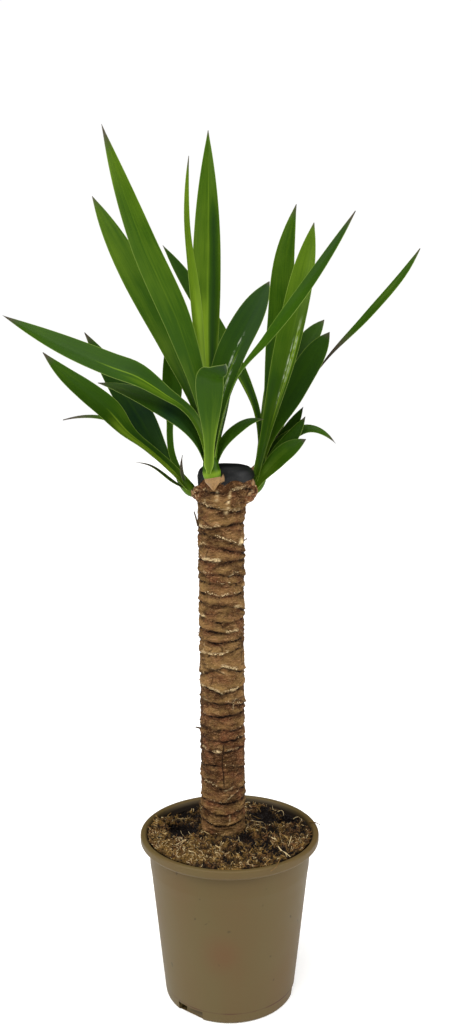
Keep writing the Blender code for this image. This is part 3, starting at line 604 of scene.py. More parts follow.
def pot_plastic(settings):
    """Polypropylene, injection moulded: an even satin skin with faint upright flow marks, a
    fine grain from the mould, a thin seam round the foot and a few scuffs, with painted shade on
    the inner wall and in the notches."""
    material, tree, place, stain_and_shade, flush = new_material(
        "moulded_polypropylene", "place", "stain_and_shade", "flush")
    tall = node(tree, MAPPING, {"Vector": place, "Scale": (1.0, 1.0, 0.12)})
    flow, cloud, grain, speck = [
        node(tree, NOISE, {"Vector": way, "Scale": 1 / (size * MM), "Detail": detail})
        for way, size, detail in ((tall, 38.5, 3.0), (place, 71.4, 2.0), (place, 0.769, 2.0),
                                  (place, 8.33, 1.0))]
    marks = node(tree, MATH, (flow, cloud), operation="MULTIPLY")
    shaded = node(tree, RANGE, (marks, 0.12, 0.42, 0.0, 0.5))
    redder = node(tree, MATH, (shaded, flush), operation="MAXIMUM")
    darkening = node(tree, RANGE, (speck, 0.74, 0.80, 0.0, 0.5))
    # Specks of dirt, and the painted shade on the inner wall and in the notches, in one dark colour
    dirt_and_shade = node(tree, MATH, (darkening, stain_and_shade), operation="MAXIMUM")
    rise = node(tree, "ShaderNodeSeparateXYZ", (place,)).outputs["Z"]
    seam = node(tree, MATH, (rise, SEAM_HEIGHT, SEAM_WIDTH), operation="COMPARE")
    worn = node(tree, RANGE, (flow, 0.42, 0.55, 0.3, 0.9))
    faint = node(tree, MATH, (seam, worn), operation="MULTIPLY")
    satin = node(tree, RANGE, (cloud, 0.0, 1.0, 0.46, 0.62))
    rough = node(tree, MATH, (satin, dirt_and_shade), operation="MAXIMUM")
    layers = ((redder, settings.shade), (dirt_and_shade, linear("#1a120a")), (faint, linear("#44261a")))
    return finish_material(material, settings.plastic, layers, rough, grain, (0.10, 0.2 * MM), 0.22)


def peat(settings):
    """Moist peat with dried moss: dark crumbs where it is bare, golden brown where moss covers
    it, and rough all over."""
    material, tree, place, moss = new_material("moist_peat", "place", "moss")
    crumb = node(tree, NOISE, {"Vector": place, "Scale": 1 / (2.38 * MM), "Detail": 6.0,
                               "Roughness": 0.7})
    patch = node(tree, NOISE, {"Vector": place, "Scale": 1 / (10.5 * MM), "Detail": 3.0})
    cover = node(tree, MATH, (crumb, patch), operation="MULTIPLY")
    golden = node(tree, RANGE, (cover, 0.18, 0.34, 0.0, 0.9))
    mossy = node(tree, MATH, (golden, moss), operation="MULTIPLY")
    rough = node(tree, RANGE, (crumb, 0.0, 1.0, 0.85, 1.0))
    layers = ((mossy, settings.moss),)
    return finish_material(material, settings.peat, layers, rough, crumb, (0.9, 1.2 * MM), 0.15)


def moss_fibre(settings):
    """Dried moss, fine roots and crumbs of peat: each has its own tint, from peat brown over the
    moss's own gold, redder in patches, to straw."""
    material, tree, place, tint = new_material("dried_moss_fibre", "place", "tint")
    mottle, patch = [node(tree, NOISE, {"Vector": place, "Scale": 1 / (size * MM), "Detail": detail})
                     for size, detail in ((1.67, 2.0), (13.3, 3.0))]
    low = node(tree, RANGE, (tint, 0.0, 0.6))
    high = node(tree, RANGE, (tint, 0.62, 1.0, 0.0, 0.9))
    redness = node(tree, RANGE, (patch, 0.46, 0.60, 0.0, 0.75))
    moss = node(tree, MIX, {0: redness, 6: settings.moss, 7: linear("#6b4328")}, data_type="RGBA")
    layers = ((low, moss), (high, settings.straw))
    return finish_material(material, linear("#120a07"), layers, mottle, mottle, (0.2, 0.2 * MM), 0.2)


def bark(settings):
    """Old yucca bark: corky brown, pale where it is smooth between the scars, with nearly black
    painted shade in the grooves, torn cream fibres on the scars and fine level fibres all over."""
    material, tree, place, scar, dark_and_groove_shade, panel, red = new_material(
        "ringed_bark", "place", "scar", "dark_and_groove_shade", "panel", "red")
    level = node(tree, MAPPING, {"Vector": place, "Scale": (1.0, 1.0, 3.0)})
    slanted = node(tree, MAPPING, {"Vector": place, "Rotation": (0.35, 0.25, 0.0),
                                   "Scale": (1.0, 1.0, 4.0)})
    mottle = node(tree, NOISE, {"Vector": level, "Scale": 1 / (8.33 * MM), "Detail": 5.0,
                                "Roughness": 0.6})
    hue = node(tree, NOISE, {"Vector": place, "Scale": 1 / (14.3 * MM), "Detail": 3.0})
    light = node(tree, MATH, (panel, mottle), operation="ADD")
    paler = node(tree, RANGE, (light, 0.0, 1.35))
    fibrous = node(tree, RANGE, (panel, -0.3, 0.4, 1.0, 0.55))
    flushed = node(tree, RANGE, (hue, 0.46, 0.66, 0.0, 0.6))
    between = node(tree, MATH, (flushed, fibrous), operation="MULTIPLY")
    redder = node(tree, MATH, (between, red), operation="MAXIMUM")
    lines, relief = [], mottle
    for way, size, width, most in ((level, 9.09, 0.030, 0.85), (slanted, 12.5, 0.022, 0.75),
                                   (slanted, 6.67, 0.022, 0.65)):
        strands = node(tree, NOISE, {"Vector": way, "Scale": 1 / (size * MM), "Detail": 2.0,
                                     "Distortion": 0.7})
        away = node(tree, MATH, (strands, 0.5), operation="SUBTRACT")
        away = node(tree, MATH, (away,), operation="ABSOLUTE")
        lines.append(node(tree, RANGE, (away, 0.0, width, most, 0.0)))
        relief = node(tree, MATH, (relief, strands), operation="ADD")
    level_lines, slanted_lines, pale_lines = lines
    both = node(tree, MATH, (level_lines, slanted_lines), operation="MAXIMUM")
    dark = node(tree, MATH, (both, fibrous), operation="MULTIPLY")
    # Dark fibre lines, and the painted shade of the grooves, hollows and cracks
    deep = node(tree, MATH, (dark, dark_and_groove_shade), operation="MAXIMUM")
    torn = node(tree, RANGE, (mottle, 0.42, 0.58))
    torn_scar = node(tree, MATH, (torn, scar), operation="MULTIPLY")
    rough = node(tree, RANGE, (mottle, 0.0, 1.0, 0.7, 0.95))
    layers = ((paler, settings.pale), (redder, linear("#74492f")), (pale_lines, linear("#b48a62")),
              (deep, settings.dark_and_groove_shade), (torn_scar, settings.fibre))
    return finish_material(material, settings.bark, layers, rough, relief, (1.0, 1.2 * MM), 0.08)


def scar_fibre(settings):
    """Torn leaf-base fibre: dry and cream, a little browner here and there."""
    material, tree, place, tint = new_material("torn_scar_fibre", "place", "tint")
    mottle = node(tree, NOISE, {"Vector": place, "Scale": 1 / (2 * MM), "Detail": 3.0})
    layers = ((tint, settings.fibre),)
    return finish_material(material, settings.pale, layers, mottle, mottle, (0.3, 0.3 * MM), 0.2)


def dry_leaf(settings):
    """Dead leaf base: papery, tan, darker in streaks and towards its edges."""
    material, tree, lie, edge = new_material("dry_leaf_base", "lie", "edge")
    along = node(tree, MAPPING, {"Vector": lie, "Scale": (1.0, 0.15, 1.0)})
    streak = node(tree, NOISE, {"Vector": along, "Scale": 1 / (1.43 * MM), "Detail": 3.0})
    rim = node(tree, RANGE, (edge, 0.0, 1.2 * MM, 0.7, 0.0))
    layers = ((streak, linear("#a98656")), (rim, settings.dark_and_groove_shade))
    return finish_material(material, linear("#5e4226"), layers, streak, streak, (0.4, 0.3 * MM), 0.3)


def grafting_wax(settings):
    """Grafting wax, brushed on hot: smooth, nearly black, with a soft gloss and slow waves."""
    material, tree, place = new_material("grafting_wax", "place")
    wave, dust = [node(tree, NOISE, {"Vector": place, "Scale": 1 / (size * MM), "Detail": detail})
                  for size, detail in ((6.25, 3.0), (1.11, 2.0))]
    dusty = node(tree, RANGE, (dust, 0.55, 0.75, 0.0, 0.3))
    rough = node(tree, RANGE, (wave, 0.0, 1.0, 0.42, 0.6))
    layers = ((dusty, linear("#3c382f")),)
    return finish_material(material, settings.wax, layers, rough, wave, (0.5, 0.8 * MM), 0.25)


def leaf(settings):
    """Living yucca leaf: leathery, with a dull wax gloss, long veins side by side, paler
    margins with a pale hair line, painted glints as broken pale streaks, and a dried brown tip. The
    veins are drawn wider apart than the real ones, which are too fine to show."""
    material, tree, lie, tone, edge, dry, painted_glint = new_material(
        "yucca_leaf", "lie", "tone", "edge", "dry", "painted_glint")
    vein = settings.vein_spacing
    long_way = node(tree, MAPPING, {"Vector": lie, "Scale": (1.0, 0.035, 1.0)})
    veins, streaks, flakes, patches, cracks = [
        node(tree, NOISE, {"Vector": way, "Scale": 1 / size, "Detail": detail})
        for way, size, detail in ((long_way, vein, 2.0), (long_way, vein / 0.22, 3.0),
                                  (long_way, vein / 1.9, 2.0), (lie, 45.5 * MM, 2.0),
                                  (lie, 6.25 * MM, 2.0))]
    for pattern, low, high, change in ((streaks, 0.25, 0.75, 0.04), (patches, 0.3, 0.7, 0.05),
                                       (veins, 0.3, 0.7, 0.025)):
        shift = node(tree, RANGE, (pattern, low, high, -change, change))
        tone = node(tree, MATH, (tone, shift), operation="ADD")
    to_green = node(tree, RANGE, (tone, 0.0, 0.5))
    to_lime = node(tree, RANGE, (tone, 0.5, 1.1))
    margin = node(tree, RANGE, (edge, 0.25 * MM, 0.8 * MM, 0.22, 0.0))
    hair_line = node(tree, RANGE, (edge, 0.1 * MM, 0.4 * MM, 0.3, 0.0))
    # Painted glints: broken pale streaks of highlight
    both = node(tree, MATH, (flakes, cracks), operation="ADD")
    patchy = node(tree, RANGE, (both, 1.0, 1.12, 0.0, 0.6))
    shine = node(tree, MATH, (patchy, painted_glint), operation="MULTIPLY")
    rough = node(tree, RANGE, (patches, 0.0, 1.0, 0.34, 0.46))
    relief = node(tree, MATH, (veins, streaks), operation="ADD")
    layers = ((to_green, settings.green), (to_lime, settings.lime), (margin, settings.lime),
              (hair_line, linear("#9fae66")), (shine, linear("#dfe8cf")), (dry, settings.dry))
    return finish_material(material, settings.deep, layers, rough, relief, (0.25, 0.35 * MM), 0.09)


def floor_paint(settings):
    """A plain pale light table, matt and faintly lit from within, so that shadows stay soft."""
    material, tree, place = new_material("matt_floor_paint", "place")
    cloud = node(tree, NOISE, {"Vector": place, "Scale": 1 / (333 * MM)})
    rough = node(tree, RANGE, (cloud, 0.0, 1.0, 0.85, 0.95))
    return finish_material(material, settings.floor, (), rough, cloud, (0.0, 1 * MM), 0.1,
                           settings.glow)


def unit(vectors):
    """The vectors at a length of 1."""
    return vectors / np.linalg.norm(vectors, axis=-1, keepdims=True)


def direction(bearing, rise):
    """The way to look for a bearing and a rise in degrees."""
    bearing, rise = math.radians(bearing), math.radians(rise)
    return np.array((math.cos(bearing) * math.cos(rise), math.sin(bearing) * math.cos(rise),
                     math.sin(rise)))


def ease(value):
    """0 up to 0, 1 from 1 on, and a soft rise between."""
    value = np.clip(value, 0, 1)
    return value * value * (3 - 2 * value)


def bell(distance, width):
    """1 in the middle, about a third at the width, and then next to nothing."""
    return np.exp(-(distance / width) ** 2)


def turn_between(bearings, middle):
    """Signed angle in degrees from one bearing to others, the short way round."""
    return (np.asarray(bearings) - middle + 180) % 360 - 180


def full_turn(sides):
    """Evenly spaced angles all the way round."""
    return np.arange(sides) * math.tau / sides


def around(radii, turns, heights):
    """Points at these distances, angles and heights round the upright axis."""
    return np.stack(np.broadcast_arrays(radii * np.cos(turns), radii * np.sin(turns), heights),
                    axis=-1)


def run_along(points):
    """How far along its line each point lies."""
    steps = np.linalg.norm(np.diff(points, axis=0), axis=1)
    return np.concatenate(([0], np.cumsum(steps)))


def smooth_path(points, shares):
    """Points at these shares of the length of one smooth curve through the given points."""
    points = np.array(points, float)
    knots = run_along(points)
    slopes = np.gradient(points, knots, axis=0, edge_order=2)
    places = np.linspace(0, knots[-1], 400)
    first = np.clip(np.searchsorted(knots, places, side="right") - 1, 0, len(points) - 2)
    span = (knots[first + 1] - knots[first])[:, None]
    u = (places - knots[first])[:, None] / span
    curve = ((2 * u**3 - 3 * u**2 + 1) * points[first] + (u**3 - 2 * u**2 + u) * span * slopes[first]
             + (3 * u**2 - 2 * u**3) * points[first + 1] + (u**3 - u**2) * span * slopes[first + 1])
    run = run_along(curve)
    return np.stack([np.interp(shares * run[-1], run, curve[:, k]) for k in range(3)], axis=1)


def limb(points, count):
    """A smooth line through points that each have the radius there, and its radii, in metres."""
    points = np.array(points, float)
    shares = np.linspace(0, 1, count)
    radii = np.interp(shares, np.linspace(0, 1, len(points)), points[:, 3])
    return smooth_path(points[:, :3], shares) * MM, radii * MM


def noise_at(points, size, octaves=3):
    """Smooth noise, about -1 to 1, at each point of an array; size is that of its lumps."""
    flat = points.reshape(-1, 3) / size
    values = [noise.fractal(Vector(p), 1.0, 2.0, octaves) for p in flat]
    return np.array(values).reshape(points.shape[:-1])


def shells_to_mesh(name, shells):
    """One mesh of closed shells. Each shell is its rows of points, an array of row, point
    round and XYZ, and a dictionary of attributes with a value or a vector for each point."""
    points, faces, values = [], [], {}
    start = 0
    for rows, attributes in shells:
        count, sides = rows.shape[:2]
        index = start + np.arange(count * sides).reshape(count, sides)
        beside = np.roll(index, -1, axis=1)
        quads = np.stack([index[:-1], beside[:-1], beside[1:], index[1:]], axis=-1)
        faces += quads.reshape(-1, 4).tolist()
        faces += [index[0][::-1].tolist(), index[-1].tolist()]
        points.append(rows.reshape(-1, 3))
        for key, value in attributes.items():
            value = np.asarray(value, float)
            if value.shape[:2] != (count, sides):
                value = np.broadcast_to(value, (count, sides))
            values.setdefault(key, []).append(value.reshape(count * sides, -1))
        start += count * sides
    mesh = bpy.data.meshes.new(name)
    mesh.from_pydata(np.concatenate(points).tolist(), [], faces)
    body = bmesh.new()
    body.from_mesh(mesh)
    bmesh.ops.recalc_face_normals(body, faces=body.faces)
    body.to_mesh(mesh)
    body.free()
    for key, parts in values.items():
        data = np.concatenate(parts)
        kind, field = ("FLOAT_VECTOR", "vector") if data.shape[1] == 3 else ("FLOAT", "value")
        mesh.attributes.new(key, kind, "POINT").data.foreach_set(field, data.ravel())
    return mesh


def tube_rows(points, radii, sides):
    """Rows of points round a line, for a stem or a twig."""
    ahead = unit(np.gradient(points, axis=0))
    across = unit(np.cross(ahead, (0.3, 1.0, 0.1)))
    over = np.cross(ahead, across)
    turns = full_turn(sides)
    circle = (np.cos(turns)[None, :, None] * across[:, None]
              + np.sin(turns)[None, :, None] * over[:, None])
    return points[:, None] + np.asarray(radii)[:, None, None] * circle


def new_object(name, mesh):
    obj = bpy.data.objects.new(name, mesh)
    bpy.context.scene.collection.objects.link(obj)
    return obj


def finish_piece(obj, material, slot, replaced=(), crease=40):
    """Gives a piece its material and shading, and joins it to the frame."""
    obj.data.materials.clear()
    obj.data.materials.append(material)
    obj.data.shade_smooth()
    obj.data.set_sharp_from_angle(angle=math.radians(crease))
    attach(obj, "root")
    if replaced:
        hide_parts(*replaced)


def make_piece(name, shells, *finish, **more):
    """Makes a piece from its closed shells and finishes it."""
    finish_piece(new_object(name, shells_to_mesh(name, shells)), *finish, **more)


def bake(obj):
    """Turns what the object's modifiers make into its own plain mesh."""
    bpy.context.view_layer.update()
    mesh = bpy.data.meshes.new_from_object(obj.evaluated_get(bpy.context.evaluated_depsgraph_get()))
    obj.modifiers.clear()
    obj.data = mesh
    mesh.name = obj.name


def grow(obj, tree, inputs, *finish, **more):
    """Runs a Geometry Nodes tree on the object, with its named inputs, keeps the result as a
    plain mesh and finishes the piece."""
    modifier = obj.modifiers.new("grow", "NODES")
    modifier.node_group = tree
    sockets = {item.name: item.identifier for item in tree.interface.items_tree
               if item.item_type == "SOCKET" and item.in_out == "INPUT"}
    for name, value in inputs.items():
        modifier[sockets[name]] = value
    bake(obj)
    finish_piece(obj, inputs["Material"], *finish, **more)


def new_tree(name, *sizes):
    """A Geometry Nodes tree and the outputs of what it is given: geometry, the named sizes, a
    seed and a material."""
    tree = bpy.data.node_groups.new(name, "GeometryNodeTree")
    tree.interface.new_socket("Geometry", in_out="OUTPUT", socket_type="NodeSocketGeometry")
    kinds = {"Geometry": "Geometry", **dict.fromkeys(sizes, "Float"), "Seed": "Int",
             "Material": "Material"}
    for socket, kind in kinds.items():
        tree.interface.new_socket(socket, in_out="INPUT", socket_type="NodeSocket" + kind)
    return tree, node(tree, "NodeGroupInput").outputs


def finish_tree(tree, given, copies, tint):
    """Stores the tint of each copy, turns the copies into real geometry and sets its material."""
    tinted = node(tree, "GeometryNodeStoreNamedAttribute", {
        "Geometry": copies, "Name": "tint", "Value": tint}, domain="INSTANCE")
    real = node(tree, "GeometryNodeRealizeInstances", (tinted,))
    painted = node(tree, "GeometryNodeSetMaterial", {"Geometry": real,
                                                     "Material": given["Material"]})
    node(tree, "NodeGroupOutput", (painted,))
    return tree


def fibre_tree():
    """Scatters bent fibres over a surface. Follow is how far their density keeps to the surface's
    attribute named moss, and Moss tint how much paler they are where that is 1, and darker where it
    falls below zero, which is painted shade in the soil's hollows."""
    tree, given = new_tree("scattered_fibres", *FIBRE_SIZES)
    moss = node(tree, "GeometryNodeInputNamedAttribute", {"Name": "moss"})
    part = node(tree, MATH, (given["Follow"], moss), operation="MULTIPLY")
    rest = node(tree, MATH, (1.0, given["Follow"]), operation="SUBTRACT")
    cover = node(tree, MATH, (part, rest), operation="ADD")
    density = node(tree, MATH, (given["Density"], cover), operation="MULTIPLY")
    points = node(tree, "GeometryNodeDistributePointsOnFaces", {
        "Mesh": given["Geometry"], "Density": density, "Seed": given["Seed"]})
    share = node(tree, MATH, (given["Thickness"], given["Length"]), operation="DIVIDE")
    half = node(tree, MATH, (share, 0.5), operation="MULTIPLY")
    section = node(tree, "GeometryNodeCurvePrimitiveCircle", {"Resolution": 3, "Radius": half})
    shapes = node(tree, "GeometryNodeGeometryToInstance")
    for bend, reach in ((0.2, 0.85), (0.5, 0.6), (0.75, 0.3), (-0.4, 0.7)):
        line = node(tree, "GeometryNodeCurveQuadraticBezier", {
            "Resolution": 4, "Start": (0, 0, -0.1), "Middle": (bend, 0.15, 0.5),
            "End": (-bend * 0.7, 0.3, reach)})
        fibre = node(tree, "GeometryNodeCurveToMesh", {
            "Curve": line, "Profile Curve": section, "Fill Caps": True})
        tree.links.new(fibre.outputs[0], shapes.inputs[0])
    pick = node(tree, RANDOM, {4: 0, 5: 3, 8: 1}, data_type="INT")
    low = node(tree, "ShaderNodeCombineXYZ", (given["Least lean"], -0.3, 0.0))
    high = node(tree, "ShaderNodeCombineXYZ", (given["Most lean"], 0.3, math.tau))
    turn = node(tree, RANDOM, {0: low, 1: high, 8: 2}, data_type="FLOAT_VECTOR")
    size = node(tree, RANDOM, {2: 0.45, 3: 1.35, 8: 3})
    length = node(tree, MATH, (size, given["Length"]), operation="MULTIPLY")
    fibres = node(tree, "GeometryNodeInstanceOnPoints", {
        "Points": points, "Instance": shapes, "Pick Instance": True, "Instance Index": pick,
        "Rotation": turn, "Scale": length})
    draw = node(tree, RANDOM, {2: given["Least tint"], 3: given["Most tint"], 8: 4})
    lift = node(tree, MATH, (moss, given["Moss tint"]), operation="MULTIPLY")
    tint = node(tree, MATH, (draw, lift), operation="ADD")
    return finish_tree(tree, given, fibres, tint)


def crumb_tree():
    """Scatters crumbs over a surface, turned every way, half sunk into it."""
    tree, given = new_tree("scattered_crumbs", "Density", "Size")
    points = node(tree, "GeometryNodeDistributePointsOnFaces", {
        "Mesh": given["Geometry"], "Density": given["Density"], "Seed": given["Seed"]})
    crumb = node(tree, "GeometryNodeMeshIcoSphere", {"Radius": given["Size"], "Subdivisions": 1})
    turn = node(tree, RANDOM, {0: (0, 0, 0), 1: (math.tau,) * 3, 8: 11}, data_type="FLOAT_VECTOR")
    size = node(tree, RANDOM, {0: (0.4, 0.3, 0.3), 1: (1.6, 1.1, 0.9), 8: 12},
                data_type="FLOAT_VECTOR")
    crumbs = node(tree, "GeometryNodeInstanceOnPoints", {
        "Points": points, "Instance": crumb, "Rotation": turn, "Scale": size})
    moss = node(tree, "GeometryNodeInputNamedAttribute", {"Name": "moss"})
    draw = node(tree, RANDOM, {2: -0.1, 3: 0.25, 8: 13})
    # Paler on golden moss, darker where moss falls below zero: painted shade in the hollows
    lift = node(tree, MATH, (moss, 0.30), operation="MULTIPLY")
    tint = node(tree, MATH, (draw, lift), operation="ADD")
    return finish_tree(tree, given, crumbs, tint)


def fringe_tree():
    """Sets small torn flakes along lines on the cane, standing out from its middle line. A
    line's attribute named strength says what share of the flakes it keeps."""
    tree, given = new_tree("scar_fringe", "Spacing", "Flake", "Middle")
    line = node(tree, "GeometryNodeMeshToCurve", {"Mesh": given["Geometry"]})
    points = node(tree, "GeometryNodeCurveToPoints", {"Curve": line, "Length": given["Spacing"]},
                  mode="LENGTH")
    strength = node(tree, "GeometryNodeInputNamedAttribute", {"Name": "strength"})
    draw = node(tree, RANDOM, {2: 0.0, 3: 1.0, 8: given["Seed"]})
    kept = node(tree, "FunctionNodeCompare", (draw, strength), operation="LESS_THAN")
    stray = node(tree, RANDOM, {0: (-0.3 * MM, -0.3 * MM, -0.8 * MM),
                                1: (0.3 * MM, 0.3 * MM, 1.0 * MM), 8: 8}, data_type="FLOAT_VECTOR")
    strayed = node(tree, "GeometryNodeSetPosition", {"Geometry": points, "Offset": stray})
    place = node(tree, "GeometryNodeInputPosition")
    middle = node(tree, "ShaderNodeCombineXYZ", (given["Middle"],))
    from_middle = node(tree, "ShaderNodeVectorMath", (place, middle), operation="SUBTRACT")
    outward = node(tree, "ShaderNodeVectorMath", (from_middle, (1.0, 1.0, 0.0)),
                   operation="MULTIPLY")
    facing = node(tree, "FunctionNodeAlignRotationToVector", {"Vector": outward}, axis="Z")
    flake = node(tree, "GeometryNodeMeshIcoSphere", {"Radius": given["Flake"], "Subdivisions": 1})
    size = node(tree, RANDOM, {0: (0.4, 0.25, 0.25), 1: (1.6, 1.1, 0.6), 8: 5},
                data_type="FLOAT_VECTOR")
    flakes = node(tree, "GeometryNodeInstanceOnPoints", {
        "Points": strayed, "Selection": kept, "Instance": flake, "Rotation": facing, "Scale": size})
    spin = node(tree, RANDOM, {0: (-0.5, -0.5, -0.7), 1: (0.5, 0.5, 0.7), 8: 6},
                data_type="FLOAT_VECTOR")
    turned = node(tree, "GeometryNodeRotateInstances", {
        "Instances": flakes, "Rotation": spin, "Local Space": True})
    tint = node(tree, RANDOM, {2: 0.25, 3: 1.0, 8: 7})
    return finish_tree(tree, given, turned, tint)


def rounded(profile, reach, steps=4):
    """The profile with each inner corner turned into a small curve."""
    profile = [np.array(point, float) for point in profile]
    smooth = [profile[0]]
    for before, corner, after in zip(profile, profile[1:], profile[2:]):
        back, on = before - corner, after - corner
        near = min(reach, 0.45 * np.linalg.norm(back), 0.45 * np.linalg.norm(on))
        start = corner + near * unit(back)
        end = corner + near * unit(on)
        for t in np.linspace(0, 1, steps):
            smooth.append((1 - t) ** 2 * start + 2 * t * (1 - t) * corner + t * t * end)
    return np.array(smooth + [profile[-1]])


def finer(profile, longest):
    """The profile with its long straight runs divided."""
    points = [profile[0]]
    for start, end in zip(profile, profile[1:]):
        parts = max(1, math.ceil(np.linalg.norm(end - start) / longest))
        points += [start + (end - start) * i / parts for i in range(1, parts + 1)]
    return np.array(points)


def pot_profile(height, lip_radius):
    """Half section of the pot, from the middle of its floor over the lip to its underside."""
    collar_low = COLLAR_RADIUS - COLLAR_TAPER
    lip_inner, lip_low = lip_radius - LIP_WIDTH, height - LIP_DEPTH
    collar = [(COLLAR_RADIUS, lip_low), (collar_low, COLLAR_BOTTOM),
              (collar_low - COLLAR_STEP, COLLAR_BOTTOM - COLLAR_STEP_HEIGHT)]
    bowl = [(POT_CENTRE, POT_FLOOR), (FOOT_RADIUS - FOOT_THICKNESS, POT_FLOOR),
            (FOOT_RADIUS - FOOT_THICKNESS, NOTCH_TOP + 2 * MM),
            (FOOT_RADIUS - POT_WALL + 2 * MM, NOTCH_TOP + 16 * MM)]
    inner = [(radius - POT_WALL, level) for radius, level in collar[::-1]]
    lip = [(lip_inner, height - LIP_ROUND), (lip_inner + LIP_ROUND, height),
           (lip_radius - LIP_ROUND, height), (lip_radius, height - LIP_ROUND),
           (lip_radius, lip_low + LIP_UNDERCUT), (lip_radius - LIP_UNDERCUT, lip_low)]
    foot = [(FOOT_RADIUS, FOOT_HEIGHT), (FOOT_RADIUS - 0.3 * FOOT_ROUND, 0.4 * FOOT_ROUND),
            (FOOT_RADIUS - FOOT_ROUND, 0), (POT_CENTRE, 0)]
    return finer(rounded(bowl + inner + lip + collar + foot, EDGE_ROUND), LONGEST_RUN)


def make_pot(settings):
    """The pot is turned from its half section, and the drainage notches are cut from its foot."""
    profile = pot_profile(settings.height, settings.lip_radius)
    turns = full_turn(POT_SIDES)
    rows = around(profile[:, :1], turns, profile[:, 1:])
    bearings = np.degrees(turns)[None, :]
    heights = rows[..., 2]
    # A dark streak on the right, painted shade on the inner wall below the lip, and a redder patch in
    # front
    stain_and_shade = 0.5 * bell(turn_between(bearings, -9), 2.2) * bell(heights - 0.115, 0.022)
    inner_rows = np.arange(len(profile))[:, None] < np.argmax(profile[:, 1])
    stain_and_shade = np.where(inner_rows, ease((settings.height - 0.5 * MM - heights) / (3 * MM)), stain_and_shade)
    flush = bell(turn_between(bearings, -94), 15) * bell(heights - 0.072, 0.020)
    pot = new_object("nursery_pot", shells_to_mesh("nursery_pot", [
        (rows, {"stain_and_shade": stain_and_shade, "flush": flush})]))
    # Each notch has a narrower cut beside it; the faces they cut get painted shade, nearly black in
    # the narrow cut
    cutters = []
    for i in range(NOTCH_COUNT):
        for place, size, recess_shade in ((NOTCH_BEARING, NOTCH_SIZE, NOTCH_SHADE),
                                       (DRAIN_BEARING, DRAIN_SIZE, DRAIN_SHADE)):
            bearing = math.radians(place + i * 360 / NOTCH_COUNT)
            bpy.ops.mesh.primitive_cube_add(size=1)
            notch = bpy.context.object
            notch.dimensions = size
            darkening = notch.data.attributes.new("stain_and_shade", "FLOAT", "POINT")
            darkening.data.foreach_set("value", [recess_shade] * 8)
            notch.rotation_euler.z = bearing
            notch.location = (FOOT_RADIUS * math.cos(bearing), FOOT_RADIUS * math.sin(bearing),
                              NOTCH_TOP - size[2] / 2)
            cut = pot.modifiers.new("notch", "BOOLEAN")
            cut.object = notch
            cut.operation = "DIFFERENCE"
            cutters.append(notch)
    bake(pot)
    for notch in cutters:
        bpy.data.objects.remove(notch)
    finish_piece(pot, pot_plastic(settings), "pot_plastic", ["pot"], crease=30)


def soil_shape(x, y):
    """Height of the soil, and how golden its moss is, at points in metres. In the hollows the moss
    falls below zero, as bare peat and as painted shade that darkens the fibres and crumbs there.
    """
    heap = 1 - np.hypot(x, y) / SOIL_RADIUS
    behind = ease(0.2 + y / SOIL_RADIUS)
    height = SOIL_EDGE + (SOIL_CROWN - SOIL_EDGE) * ease(1.35 * heap) - SOIL_BACK_DIP * behind
    moss = np.full_like(height, 0.4)
    for (middle_x, middle_y), reach, rise, gold_and_hollow_shade in SOIL_FEATURES:
        near = bell(np.hypot(x - middle_x * MM, y - middle_y * MM), reach * MM)
        height = height + rise * MM * near * np.clip(0.6 + 6 * heap, 0, 1)
        moss = moss + gold_and_hollow_shade * np.clip(1.4 * near, 0, 1)
    return height, moss


def make_soil(settings):
    """The soil fills the pot. Its top is a fine grid in rings, lumpy all over."""
    turns = full_turn(SOIL_SIDES)
    edge = SOIL_RADIUS + SOIL_SPREAD * (1 - ease(0.2 + np.sin(turns)))
    radii = SOIL_CENTRE + np.linspace(1, 0, SOIL_ROWS)[:, None] * (edge - SOIL_CENTRE)
    flat = around(radii, turns, 0)
    height, moss = soil_shape(flat[..., 0], flat[..., 1])
    # Lumps and clods, and moss that stands a little higher than bare peat, fading at the rim.
    # Each noise is read at its own place, so that none follows another.
    lumps = 3.0 * noise_at(flat + 0.3, 14 * MM) + 2.4 * noise_at(flat + 0.7, 5.5 * MM)
    inside = np.clip((SOIL_RADIUS - radii) / (4 * MM), 0, 1)
    height = height + lumps * MM * (0.25 + 0.75 * inside)
    patches = noise_at(flat + 1.9, 16 * MM)
    clumps = noise_at(flat + 2.9, 6.5 * MM, 2)
    # Moss keeps values down to -1, which darken what grows there: bare peat and painted shade in the
    # hollows
    moss = np.clip(moss + 0.3 * patches + 1.3 * clumps, -1, 1)
    height = height + 2.0 * MM * (moss - 0.5) * inside
    foot = FOOT_RADIUS - FOOT_THICKNESS - 0.4 * MM
    sides = [around(radius, turns, level) for radius, level in (
        (foot, POT_FLOOR + 0.3 * MM), (foot, NOTCH_TOP + 2 * MM),
        (FOOT_RADIUS - POT_WALL + 1.6 * MM, NOTCH_TOP + 16 * MM),
        (SOIL_RADIUS - 1.8 * MM, 120 * MM), (SOIL_RADIUS, 152 * MM))]
    rows = np.concatenate([sides, around(radii, turns, height)])
    cover = np.concatenate([np.zeros((len(sides), SOIL_SIDES)), moss])
    make_piece("soil_surface", [(rows, {"moss": cover})], peat(settings), "peat", ["soil"],
               crease=80)


def soil_patch(name):
    """A copy of the soil's top, to grow things on."""
    patch = new_object(name, bpy.data.objects["soil_surface"].data.copy())
    body = bmesh.new()
    body.from_mesh(patch.data)
    low = [face for face in body.faces
           if face.calc_center_median().z < SOIL_EDGE - 14 * MM or face.normal.z < 0.2]
    bmesh.ops.delete(body, geom=low, context="FACES")
    body.to_mesh(patch.data)
    body.free()
    return patch


